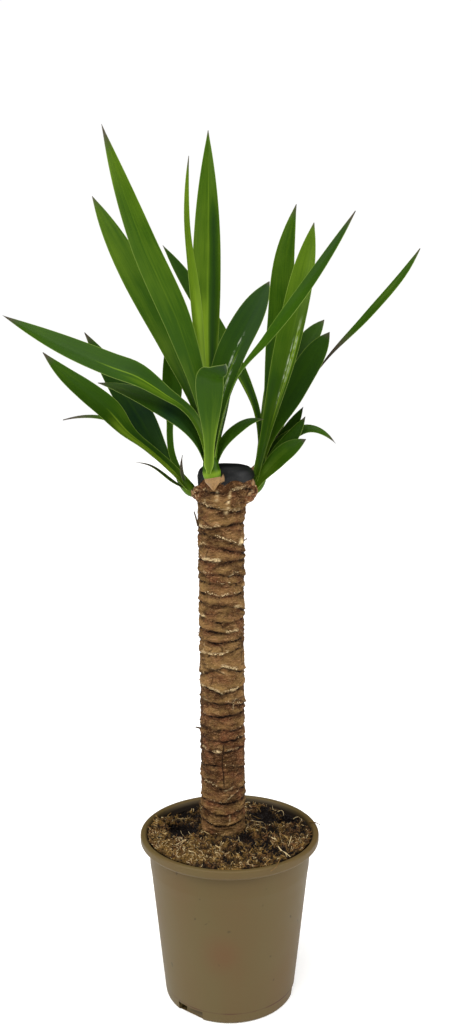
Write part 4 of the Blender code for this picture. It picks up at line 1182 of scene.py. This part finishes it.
def make_moss(settings):
    """What lies on the soil: crumbs of peat, four kinds of fibre and a few loose straws."""
    material = moss_fibre(settings)
    grow(soil_patch("peat_crumbs"), crumb_tree(), {
        "Density": settings.crumbs * PER_SQUARE_CM, "Size": CRUMB_SIZE, "Seed": SEED,
        "Material": material}, "peat", crease=30)
    tree = fibre_tree()
    # How many grow on a square centimetre, and then the rest of the sizes
    kinds = {
        "moss_fibres": (settings.fibres, 0.97, settings.fibre_length, 0.45 * MM, 0.5, 1.5,
                        -0.35, 0.88, 0.35),
        "moss_stems": (settings.fibres / 5, 0.9, 6 * MM, 0.7 * MM, 0.9, 1.55, -0.3, 0.8, 0.2),
        "peat_fibres": (settings.fibres / 4, 0.5, 6 * MM, 0.6 * MM, 1.1, 1.6, -0.4, 0.35, 0.3),
        "rootlets": (settings.rootlets, 0.3, 9 * MM, 0.32 * MM, 1.2, 1.65, 0.6, 1.0, 0.1),
    }
    for number, (name, (density, *sizes)) in enumerate(kinds.items()):
        values = dict(zip(FIBRE_SIZES, (density * PER_SQUARE_CM, *sizes)))
        grow(soil_patch(name), tree, {**values, "Seed": SEED + number, "Material": material},
             "peat", crease=180)
    straws = []
    for points, radius, tint in STRAWS:
        line = smooth_path(points, np.linspace(0, 1, 12)) * MM
        line[:, 2] += soil_shape(line[:, 0], line[:, 1])[0]
        straws.append((tapered(line, radius, 6), {"tint": tint}))
    make_piece("loose_straws", straws, material, "peat", crease=60)


def tapered(line, radius, sides):
    """Rows round a straw or a twig, which is half as thick at its end."""
    return tube_rows(line, radius * MM * np.linspace(1, 0.5, len(line)), sides)


def cane_at(height):
    """Middle along X and radius of the cane at heights in millimetres."""
    heights, middles, radii = zip(*CANE)
    return np.interp(height, heights, middles), np.interp(height, heights, radii)


def scar_lines(bearings):
    """Height in millimetres of every scar at each bearing."""
    turns = np.radians(np.append(np.array(CANE_TURNS), 180))
    lines = []
    for number, (heights, _, _) in enumerate(SCARS):
        level = np.interp(np.radians(turn_between(bearings, 0)), turns, [*heights, heights[0]])
        spots = around(1.6, np.radians(bearings), number * 3.7)
        lines.append(level + SCAR_WAVER * noise_at(spots, 0.7))
    return np.array(lines)


def scar_strengths(bearings):
    """How pale each scar is at each bearing, fading at the ends of its pale stretches. On the
    side that the photograph doesn't show, a stretch is drawn with a fixed seed."""
    strengths = []
    for number, (_, _, stretches) in enumerate(SCARS):
        draw = random.Random(SEED + number)
        first = draw.uniform(10, 120)
        behind = (first, first + draw.uniform(15, 60), draw.uniform(0.2, 1.0))
        strength = np.zeros(len(bearings))
        for start, end, most in (*stretches, behind):
            away = np.abs(turn_between(bearings, (start + end) / 2))
            strength = np.maximum(strength, most * ease(((end - start) / 2 + 6 - away) / 12))
        strengths.append(strength ** 1.5)
    return strengths


def strokes(bearings, heights, count, lengths, slopes):
    """Slanting marks on the bark, drawn with a fixed seed. Each gives how far every point of the
    bark lies along and across it, in millimetres, its length, its height and a number from 0
    to 1."""
    draw = random.Random(SEED + count)
    for _ in range(count):
        bearing, level = draw.uniform(-180, 180), draw.uniform(*STROKE_HEIGHTS)
        length, slope = draw.uniform(*lengths), draw.choice((-1, 1)) * draw.uniform(*slopes)
        arc = np.radians(turn_between(bearings, bearing)) * BARK_RADIUS
        rise = heights - level
        along = arc * math.cos(slope) + rise * math.sin(slope)
        across = rise * math.cos(slope) - arc * math.sin(slope)
        yield along, across, length, level, draw.random()


def make_cane(settings):
    """The cane's bark: a fine grid whose relief and colours follow the scars. Reliefs and
    distances are in millimetres, and away is how far above a mark a point lies."""
    bearings = np.arange(CANE_SIDES) * 360 / CANE_SIDES - 180
    turns = np.radians(bearings)
    heights = np.arange(BARK_FOOT, CANE[-1][0] + 0.01, CANE_ROW)[:, None]
    lines = scar_lines(bearings)
    spots = around(BARK_RADIUS, turns, heights)
    cloud = noise_at(spots, 13)
    tear = noise_at(spots * (1, 1, 2), 4.2)
    grain = noise_at(spots * (1, 1, 2.6), 1.7, 2)
    plate = np.clip(0.5 + 0.8 * noise_at(spots * (0.62, 0.62, 1.5), 7.5, 3), 0, 1)
    # The skin, with corky plates between torn hollows
    relief = 0.4 * cloud + 0.3 * tear + (0.30 - 0.22 * plate) * grain + 0.55 * plate
    scar, dark_and_groove_shade, red = 0 * relief, 0 * relief, 0 * relief
    above = (heights[None] > lines[:, None]).sum(axis=0)
    shades = np.array([0.0] + [panel for _, panel, _ in SCARS])
    panel = 0.6 * shades[above] + 0.4 * cloud + 1.0 * (plate - 0.5)
    # Painted light near the soil, lifting the shade that falls there; darker round 225 mm and from
    # 474 mm up
    panel += 0.30 * ease((190 - heights) / 25) - 0.35 * bell(heights - 225, 50)
    panel -= 0.55 * ease((heights - 474) / 8)
    depth = np.clip(0.85 + 1.1 * tear + 1.2 * cloud, 0.1, 1.7)
    pits = np.clip(-2.6 * tear - 0.35, 0, 1)
    # Scars: each has a lip that fades upwards, a groove under it and pits below; the groove, the pits
    # and the bark just under the lip get painted shade, and a band above is paler
    for line, pale in zip(lines, scar_strengths(bearings)):
        away = heights - line - 0.7 * grain
        relief += SCAR_LIP * depth * np.where(away > 0, np.exp(-away / 4.0), bell(away, 0.6))
        relief -= SCAR_GROOVE * depth * bell(away + 1.8, 1.1)
        frayed = np.clip(0.55 + 1.5 * grain + 0.8 * tear, 0, 1)
        scar = np.maximum(scar, pale * frayed * bell(away - 0.1, 0.9 + 0.7 * pale))
        dark_and_groove_shade = np.maximum(dark_and_groove_shade, 0.85 * depth * bell(away + 1.7, 1.2) * (1 - 0.3 * pale))
        panel = panel - 0.35 * depth * bell(away + 3.0, 2.2) + 0.2 * bell(away - 3.5, 3.0)
        dark_and_groove_shade = np.maximum(dark_and_groove_shade, pits * bell(away + 2.0, 2.6))
        relief -= 0.5 * pits * bell(away + 2.0, 2.6)
    # Folds that join the scars, wrinkles, and splits, of which the rarer are pale; the folds, the
    # wrinkles and the darker splits get painted shade in their grooves, and each wrinkle a paler edge
    # above
    frayed = np.clip(0.4 + 1.5 * grain + tear, 0, 1)
    for along, across, length, _, strength in strokes(bearings, heights, *FOLDS):
        ends = ease(2.2 - 4.4 * abs(along) / length)
        away = across + 2.5 * (along / length) ** 2 * 4 - 0.8 * grain
        relief += 0.55 * ends * np.where(away > 0, np.exp(-away / 3.5), bell(away, 0.6))
        relief -= 0.5 * ends * bell(away + 1.4, 1.0)
        dark_and_groove_shade = np.maximum(dark_and_groove_shade, (0.5 + 0.5 * strength) * ends * bell(away + 1.2, 0.8))
        scar = np.maximum(scar, max(0, strength - 0.6) * 2 * ends * frayed * bell(away, 0.9))
        panel = panel + (strength - 0.5) * 0.5 * ends * np.clip(1 - away / 9, 0, 1) * (away > 0)
    for along, across, length, _, strength in strokes(bearings, heights, *WRINKLES):
        away = across + 0.05 * along**2 * (strength - 0.5)
        ends = (0.35 + 0.65 * strength) * ease(2 - 4 * abs(along) / length)
        relief += ends * (0.3 * bell(away - 0.8, 0.8) - 0.35 * bell(away + 0.5, 0.7))
        dark_and_groove_shade = np.maximum(dark_and_groove_shade, 0.8 * ends * bell(away + 0.5, 0.6))
        panel = panel + 0.2 * ends * bell(away - 1.2, 1.2)
    for along, across, length, level, strength in strokes(bearings, heights, *SPLITS):
        mark = bell(across + 0.8 * np.sin(along / 3 + level), 0.6) * ease(2 - 4 * abs(along) / length)
        relief -= 0.3 * mark
        if strength < 0.75:
            dark_and_groove_shade = np.maximum(dark_and_groove_shade, 0.8 * mark)
        else:
            scar = np.maximum(scar, 0.5 * mark)
    # Painted shade in the hollows of the grain; cracks, with painted shade in them, and ribs run up
    # the bark
    dark_and_groove_shade = np.maximum(dark_and_groove_shade, 0.8 * (1 - plate) * np.clip(-1.9 * grain - 0.15 - 0.5 * cloud, 0, 1))
    for bearing, low, high, strength in CRACKS:
        length = ease((heights - low) / 4) * ease((high - heights) / 4)
        wander = turn_between(bearings, bearing) + 2 * np.sin(heights / 5 + bearing)
        mark = strength * length * bell(wander, 2.0)
        dark_and_groove_shade = np.maximum(dark_and_groove_shade, mark)
        relief -= 0.5 * mark
    for bearing, low, high, strength in RIBS:
        length = ease((heights - low) / 5) * ease((high - heights) / 5)
        wander = (turn_between(bearings, bearing) + 1.5 * np.sin(heights / 4)) / (
            1.4 - 0.9 * (heights - low) / (high - low))
        scar = np.maximum(scar, 0.85 * strength * length * bell(wander, 3.5))
        panel = panel + 1.8 * strength * length * bell(wander, 5.0)
        relief += 0.9 * strength * length * bell(wander, 5.0)
    # Swellings, and the bark's end under the wax
    for bearing, level, spread, rise, redness, paleness in KNOBS:
        arc = np.radians(turn_between(bearings, bearing)) * TOP_RADIUS
        near = bell(np.hypot(arc, heights - level), spread)
        relief += rise * near
        red = np.maximum(red, redness * near)
        scar = np.maximum(scar, paleness * near)
    relief *= ease((CANE[-2][0] - heights + 4) / 10)
    middle, radius = cane_at(heights)
    rows = around(radius + relief, turns, heights)
    rows[..., 0] += middle
    shells = [(rows * MM, {"scar": scar, "dark_and_groove_shade": dark_and_groove_shade, "panel": panel, "red": red})]
    shells += [knob_shell(knob) for knob in (LEFT_KNOB, RIGHT_KNOB)]
    make_piece("cane_bark", shells, bark(settings), "bark", ["cane"], crease=80)


def knob_shell(knob):
    """Bark that runs out from the cane under a side shoot, lumpy and torn. Its fine noise gives
    the pale fibres, and its hollows get painted shade as grooves."""
    middle, radii = limb(knob, 22)
    rows = tube_rows(middle, radii, 44)
    lumps = noise_at(rows, 4.5 * MM)
    fine = noise_at(rows, 1.8 * MM, 2)
    swell = 1 + (0.9 * lumps + 0.35 * fine) * MM / np.maximum(radii, 3 * MM)[:, None]
    rows = middle[:, None] + (rows - middle[:, None]) * swell[..., None]
    return rows, {"scar": np.clip(2.2 * fine - 0.5, 0, 0.8),
                  "dark_and_groove_shade": np.clip(-2.0 * lumps - 0.3, 0, 0.6), "panel": 0.7 * lumps - 0.55,
                  "red": np.clip(0.4 + lumps, 0, 0.8)}


def make_fringe(settings):
    """Torn fibres along the scars: lines laid on the bark, with flakes set along them."""
    bearings = np.arange(-180, 180, 2.5)
    points, edges, strengths = [], [], []
    for line, pale in zip(scar_lines(bearings), scar_strengths(bearings)):
        middle, radius = cane_at(line)
        ring = around(radius + 0.75 * SCAR_LIP, np.radians(bearings), line + 0.1)
        ring[:, 0] += middle
        edges += [(len(points) + i, len(points) + i + 1) for i in range(len(bearings) - 1)]
        points += (ring * MM).tolist()
        strengths += pale.tolist()
    mesh = bpy.data.meshes.new("scar_fringe")
    mesh.from_pydata(points, edges, [])
    mesh.attributes.new("strength", "FLOAT", "POINT").data.foreach_set("value", strengths)
    grow(new_object("scar_fringe", mesh), fringe_tree(), {
        "Spacing": FLAKE_SPACING, "Flake": FLAKE_SIZE, "Middle": CANE[3][1] * MM, "Seed": SEED,
        "Material": scar_fibre(settings)}, "bark", crease=180)


def make_wax(settings):
    """Wax over the sawn top, with a wavy lower edge that ran down in places."""
    (shoulder, middle, cane_radius), (top, _, top_radius) = np.array(CANE[-2:]) * MM
    wax_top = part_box("wax_seal")[1].z
    inner = cane_radius + WAX_GAP
    outer = inner + WAX_THICKNESS
    # Its section: out over the cut and down the bark, then up the outside to the middle
    profile = rounded([
        (2 * MM, top + WAX_GAP), (top_radius, top + WAX_GAP), (inner, shoulder + WAX_GAP),
        (inner, WAX_EDGE), (outer, WAX_EDGE), (outer, WAX_EDGE + 4 * MM), (outer, wax_top - 10 * MM),
        (outer - 1.2 * MM, wax_top - 6 * MM), (outer - 5 * MM, wax_top - 2.4 * MM),
        (outer - 13 * MM, wax_top - 0.5 * MM), (2 * MM, wax_top)], 2.5 * MM, steps=5)
    turns = full_turn(WAX_SIDES)
    radii, heights = profile[:, :1], profile[:, 1:]
    drop = -1.2 * MM * np.sin(3 * turns + 1)
    for bearing, width, length in WAX_RUNS:
        drop = drop + length * MM * bell(turn_between(np.degrees(turns), bearing), width)
    heights = heights - drop * ease((WAX_EDGE + 9 * MM - heights) / (9 * MM))
    rows = around(radii, turns, heights)
    swell = 0.35 * MM * noise_at(rows, 7 * MM, 2) * (radii > inner - 1 * MM)
    rows[..., :2] *= (1 + swell / np.maximum(radii, 5 * MM))[..., None]
    rows[..., 0] += middle
    make_piece("wax_cap", [(rows, {})], grafting_wax(settings), "grafting_wax", ["wax_seal"],
               crease=60)


def blade_shell(leaf_shape, name, number):
    """Rows of a blade's closed skin and its attributes. tone and dry set its colour, with painted
    light and shade in the tone of some blades, another sets its painted glints, edge is the distance
    to its nearest margin, and lie is its own flat coordinates."""
    points, width, belly, bluntness, fold, root_face, tip_face = leaf_shape
    width *= MM
    share = np.linspace(0, 1, BLADE_STATIONS) ** 1.1
    middle = smooth_path(np.array(points) * MM, share)
    length = run_along(middle)
    ahead = unit(np.gradient(middle, axis=0))
    face = unit((1 - share)[:, None] * direction(*root_face) + share[:, None] * direction(*tip_face))
    up = unit(face - (face * ahead).sum(axis=1)[:, None] * ahead)
    side = np.cross(ahead, up)
    # Half the width along the blade: a neck that widens to the belly, then a point
    root, neck = BLADE_NECKS.get(name, USUAL_NECK)
    widening = root + (1 - root) * ease((share - neck) / (belly - neck))
    widening *= 0.4 + 0.6 * ease(length / (9 * MM))
    narrowing = 1 - np.clip((share - belly) / (1 - belly), 0, 1) ** bluntness
    half = np.maximum(width / 2 * np.where(share < belly, widening, narrowing), TIP_HALF_WIDTH)
    folds = fold + ROOT_FOLD * (1 - share) ** 6
    share, length, half, folds = [value[:, None] for value in (share, length, half, folds)]
    side, up = side[:, None], up[:, None]
    # Across it, from -1 to 1: raised and slightly wavy margins, and a skin on either face
    a = np.linspace(-1, 1, BLADE_ACROSS)
    lift = half * folds * np.abs(a) ** 1.4
    wave = MARGIN_WAVE * np.sin(length / (17 * MM) + number + 1.3 * np.sign(a)) * a**2
    centre = middle[:, None] + (half * a)[..., None] * side + (lift + wave)[..., None] * up
    skin = BLADE_THICKNESS / 2 * (0.3 + 0.7 * (1 - a**4)) * np.minimum(1, half / (2 * MM))
    under = (centre - skin[..., None] * up)[:, ::-1]
    rows = np.concatenate([centre + skin[..., None] * up, under], axis=1)
    across = np.concatenate([a, a[::-1]])
    # Colour: its tone from root to tip, paler at the root's margins, and bands, many of them painted
    # light and shade
    root, belly_tone, tip, dry_length = BLADE_LOOKS.get(name, USUAL_LOOK)
    tone = np.interp(share, (0, 0.12, 0.5, 0.85, 1), (root + 0.1, root, belly_tone, tip, tip))
    tone = tone + 0.3 * ease(1 - share / 0.16) * across**4
    for place, spread, start, end, change in BLADE_TONE_AND_SHADING_BANDS.get(name, ()):
        along = ease((share - start) / 0.12) * ease((end - share) / 0.12)
        tone = tone + change * along * bell(across - place, spread)
    # Painted glints along the blade
    painted_glint = 0 * tone
    for place, spread, start, end in BLADE_GLINTS.get(name, ()):
        along = ease((share - start) / 0.08) * ease((end - share) / 0.08)
        painted_glint = np.maximum(painted_glint, along * bell(across - place, spread))
    # Dead parts: the tip, and on a few blades the lower part
    dry = ease(1.15 - (length[-1] - length) / (dry_length * MM))
    grey_end, greyness = GREY_ROOTS.get(name, (0, 0))
    dry = np.maximum(dry, greyness * ease((grey_end - share) / 0.1))
    return rows, {"tone": tone, "dry": dry, "edge": half * (1 - np.abs(across)), "painted_glint": painted_glint,
                  "lie": flat_lie(across * width / 2, length, number)}


def flat_lie(across, along, number):
    """A shell's own flat coordinates, set apart from those of the next by its number."""
    return np.stack(np.broadcast_arrays(across, along, number * 0.37), axis=-1)


def stem_shell(stem):
    """The short stem that a shoot's blades clasp."""
    middle, radii = limb(stem, 18)
    rows = tube_rows(middle, radii, 28)
    lie = flat_lie(np.sin(full_turn(28)) * radii[:, None], run_along(middle)[:, None], 0)
    stations = np.linspace(0, 1, 18)[:, None]
    # The front stem shows a pale ring, and the others grow darker upwards
    ringed = stem is FRONT_STEM
    tone = 0.52 + 0.36 * bell(stations - 0.34, 0.10) if ringed else 0.66 - 0.2 * stations
    return rows, {"tone": tone, "dry": 0, "edge": FAR_FROM_EDGE, "painted_glint": 0, "lie": lie}


def make_shoots(settings):
    """Three leafy shoots, each one piece of blades on its short stem."""
    material = leaf(settings)
    for shoot, (stem, blades) in SHOOTS.items():
        shells = [stem_shell(stem)]
        for number, (name, shape) in enumerate(blades.items(), start=1):
            shells.append(blade_shell(shape, f"{shoot}_{name}", number))
        name = shoot.replace("shoot_", "") + "_leaves"
        make_piece(name, shells, material, "leaf", [shoot], crease=50)


def make_dry_bits(settings):
    """Dead twigs on the cane, and the dry scales at the shoots' bases."""
    twigs = []
    for points, radius in TWIGS:
        line = smooth_path(points, np.linspace(0, 1, 7)) * MM
        twigs.append((tapered(line, radius, 7), {"scar": 0, "dark_and_groove_shade": 0.6, "panel": 0, "red": 0}))
    make_piece("dead_twigs", twigs, bpy.data.materials["ringed_bark"], "bark", crease=60)
    scales = []
    for number, shape in enumerate(SCALES.values()):
        rows, attributes = blade_shell(shape, "scale", number)
        scales.append((rows, {"edge": attributes["edge"], "lie": attributes["lie"]}))
    heel = tube_rows(*limb(HEEL, 16), 24)
    scales.append((heel, {"edge": FAR_FROM_EDGE, "lie": heel}))
    make_piece("dry_scales", scales, dry_leaf(settings), "bark", crease=60)


def make_stage(settings):
    """A plain pale floor, soft studio light and the camera where the photograph was taken."""
    bpy.ops.mesh.primitive_plane_add(size=FLOOR_SIZE, location=(0, 0, FLOOR_LEVEL))
    floor = bpy.context.object
    floor.name = "floor"
    floor.data.materials.append(floor_paint(settings))
    floor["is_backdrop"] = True
    scene = bpy.context.scene
    scene.view_settings.view_transform = "Standard"
    scene.view_settings.look = "None"
    scene.world = bpy.data.worlds.new("studio")
    scene.world.use_nodes = True
    background = scene.world.node_tree.nodes["Background"]
    background.inputs["Color"].default_value = (1, 1, 1, 1)
    background.inputs["Strength"].default_value = settings.backdrop
    scene.world.cycles_visibility.diffuse = False
    scene.world.cycles_visibility.glossy = False
    for name, place in SIDE_BOXES.items():
        box = new_object(name, bpy.data.lights.new(name, "AREA"))
        box.data.shape = "DISK"
        box.data.size = SIDE_BOX_SIZE
        box.data.energy = settings.side
        box.location = place
        towards = Vector(SIDE_BOX_AIM) - box.location
        box.rotation_euler = towards.to_track_quat("-Z", "Y").to_euler()
    top = new_object("top", bpy.data.lights.new("top", "SUN"))
    top.data.energy = settings.top
    top.data.angle = math.radians(TOP_LIGHT_SPREAD)
    top.rotation_euler = [math.radians(angle) for angle in TOP_LIGHT_TILT]
    camera = new_object("camera", bpy.data.cameras.new("camera"))
    camera.location = CAMERA_PLACE
    camera.rotation_euler = (math.radians(90 - CAMERA_PITCH), 0, 0)
    camera.data.sensor_width = SENSOR
    camera.data.lens = FOCAL_PIXELS / IMAGE_HEIGHT * SENSOR
    camera.data.shift_y = AXIS_BELOW_MIDDLE / IMAGE_HEIGHT
    camera.data.clip_start = 0.02
    scene.camera = camera


class YUCCA_OT_pot(bpy.types.Operator):
    """Makes the nursery pot"""

    bl_idname = "yucca.pot"
    bl_label = "Pot"

    def execute(self, context):
        make_pot(context.scene.yucca_pot)
        return {"FINISHED"}


class YUCCA_OT_soil(bpy.types.Operator):
    """Makes the soil that fills the pot"""

    bl_idname = "yucca.soil"
    bl_label = "Soil"

    def execute(self, context):
        make_soil(context.scene.yucca_soil)
        return {"FINISHED"}


class YUCCA_OT_moss(bpy.types.Operator):
    """Grows moss, peat fibres and rootlets on the soil"""

    bl_idname = "yucca.moss"
    bl_label = "Moss and rootlets"

    def execute(self, context):
        make_moss(context.scene.yucca_soil)
        return {"FINISHED"}


class YUCCA_OT_cane(bpy.types.Operator):
    """Makes the cane with its bark, scar fringe and wax"""

    bl_idname = "yucca.cane"
    bl_label = "Cane"

    def execute(self, context):
        make_cane(context.scene.yucca_cane)
        make_fringe(context.scene.yucca_cane)
        make_wax(context.scene.yucca_cane)
        return {"FINISHED"}


class YUCCA_OT_shoots(bpy.types.Operator):
    """Makes the three leafy shoots"""

    bl_idname = "yucca.shoots"
    bl_label = "Shoots"

    def execute(self, context):
        make_shoots(context.scene.yucca_leaf)
        return {"FINISHED"}


class YUCCA_OT_dry_bits(bpy.types.Operator):
    """Makes the dead twigs and dry scales"""

    bl_idname = "yucca.dry_bits"
    bl_label = "Twigs and scales"

    def execute(self, context):
        make_dry_bits(context.scene.yucca_cane)
        return {"FINISHED"}


class YUCCA_OT_stage(bpy.types.Operator):
    """Makes the floor, the lights and the camera"""

    bl_idname = "yucca.stage"
    bl_label = "Stage"

    def execute(self, context):
        make_stage(context.scene.yucca_stage)
        return {"FINISHED"}


OPERATORS = (YUCCA_OT_stage, YUCCA_OT_pot, YUCCA_OT_soil, YUCCA_OT_moss, YUCCA_OT_cane,
             YUCCA_OT_shoots, YUCCA_OT_dry_bits)


class YUCCA_PT_panel(bpy.types.Panel):
    """The makers of the plant's pieces"""

    bl_idname = "YUCCA_PT_panel"
    bl_label = "Potted Yucca"
    bl_space_type = "VIEW_3D"
    bl_region_type = "UI"
    bl_category = "Yucca"

    def draw(self, context):
        for settings in SETTINGS:
            group = getattr(context.scene, settings)
            box = self.layout.box()
            for name in group.bl_rna.properties.keys():
                if name not in ("rna_type", "name"):
                    box.prop(group, name)
        for operator in OPERATORS:
            self.layout.operator(operator.bl_idname)


SETTINGS = {
    "yucca_pot": PotSettings,
    "yucca_soil": SoilSettings,
    "yucca_cane": CaneSettings,
    "yucca_leaf": LeafSettings,
    "yucca_stage": StageSettings,
}


def register():
    for settings, group in SETTINGS.items():
        bpy.utils.register_class(group)
        setattr(bpy.types.Scene, settings, PointerProperty(type=group))
    for cls in (*OPERATORS, YUCCA_PT_panel):
        bpy.utils.register_class(cls)


def unregister():
    for cls in (YUCCA_PT_panel, *reversed(OPERATORS)):
        bpy.utils.unregister_class(cls)
    for settings, group in SETTINGS.items():
        delattr(bpy.types.Scene, settings)
        bpy.utils.unregister_class(group)


def main():
    register()
    for operator in OPERATORS:
        family, name = operator.bl_idname.split(".")
        getattr(getattr(bpy.ops, family), name)()
    boxes = {"cad": CAD_BOX, "visual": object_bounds()}
    {name: [list(corner) for corner in box] for name, box in boxes.items()}


if __name__ == "__main__":
    main()
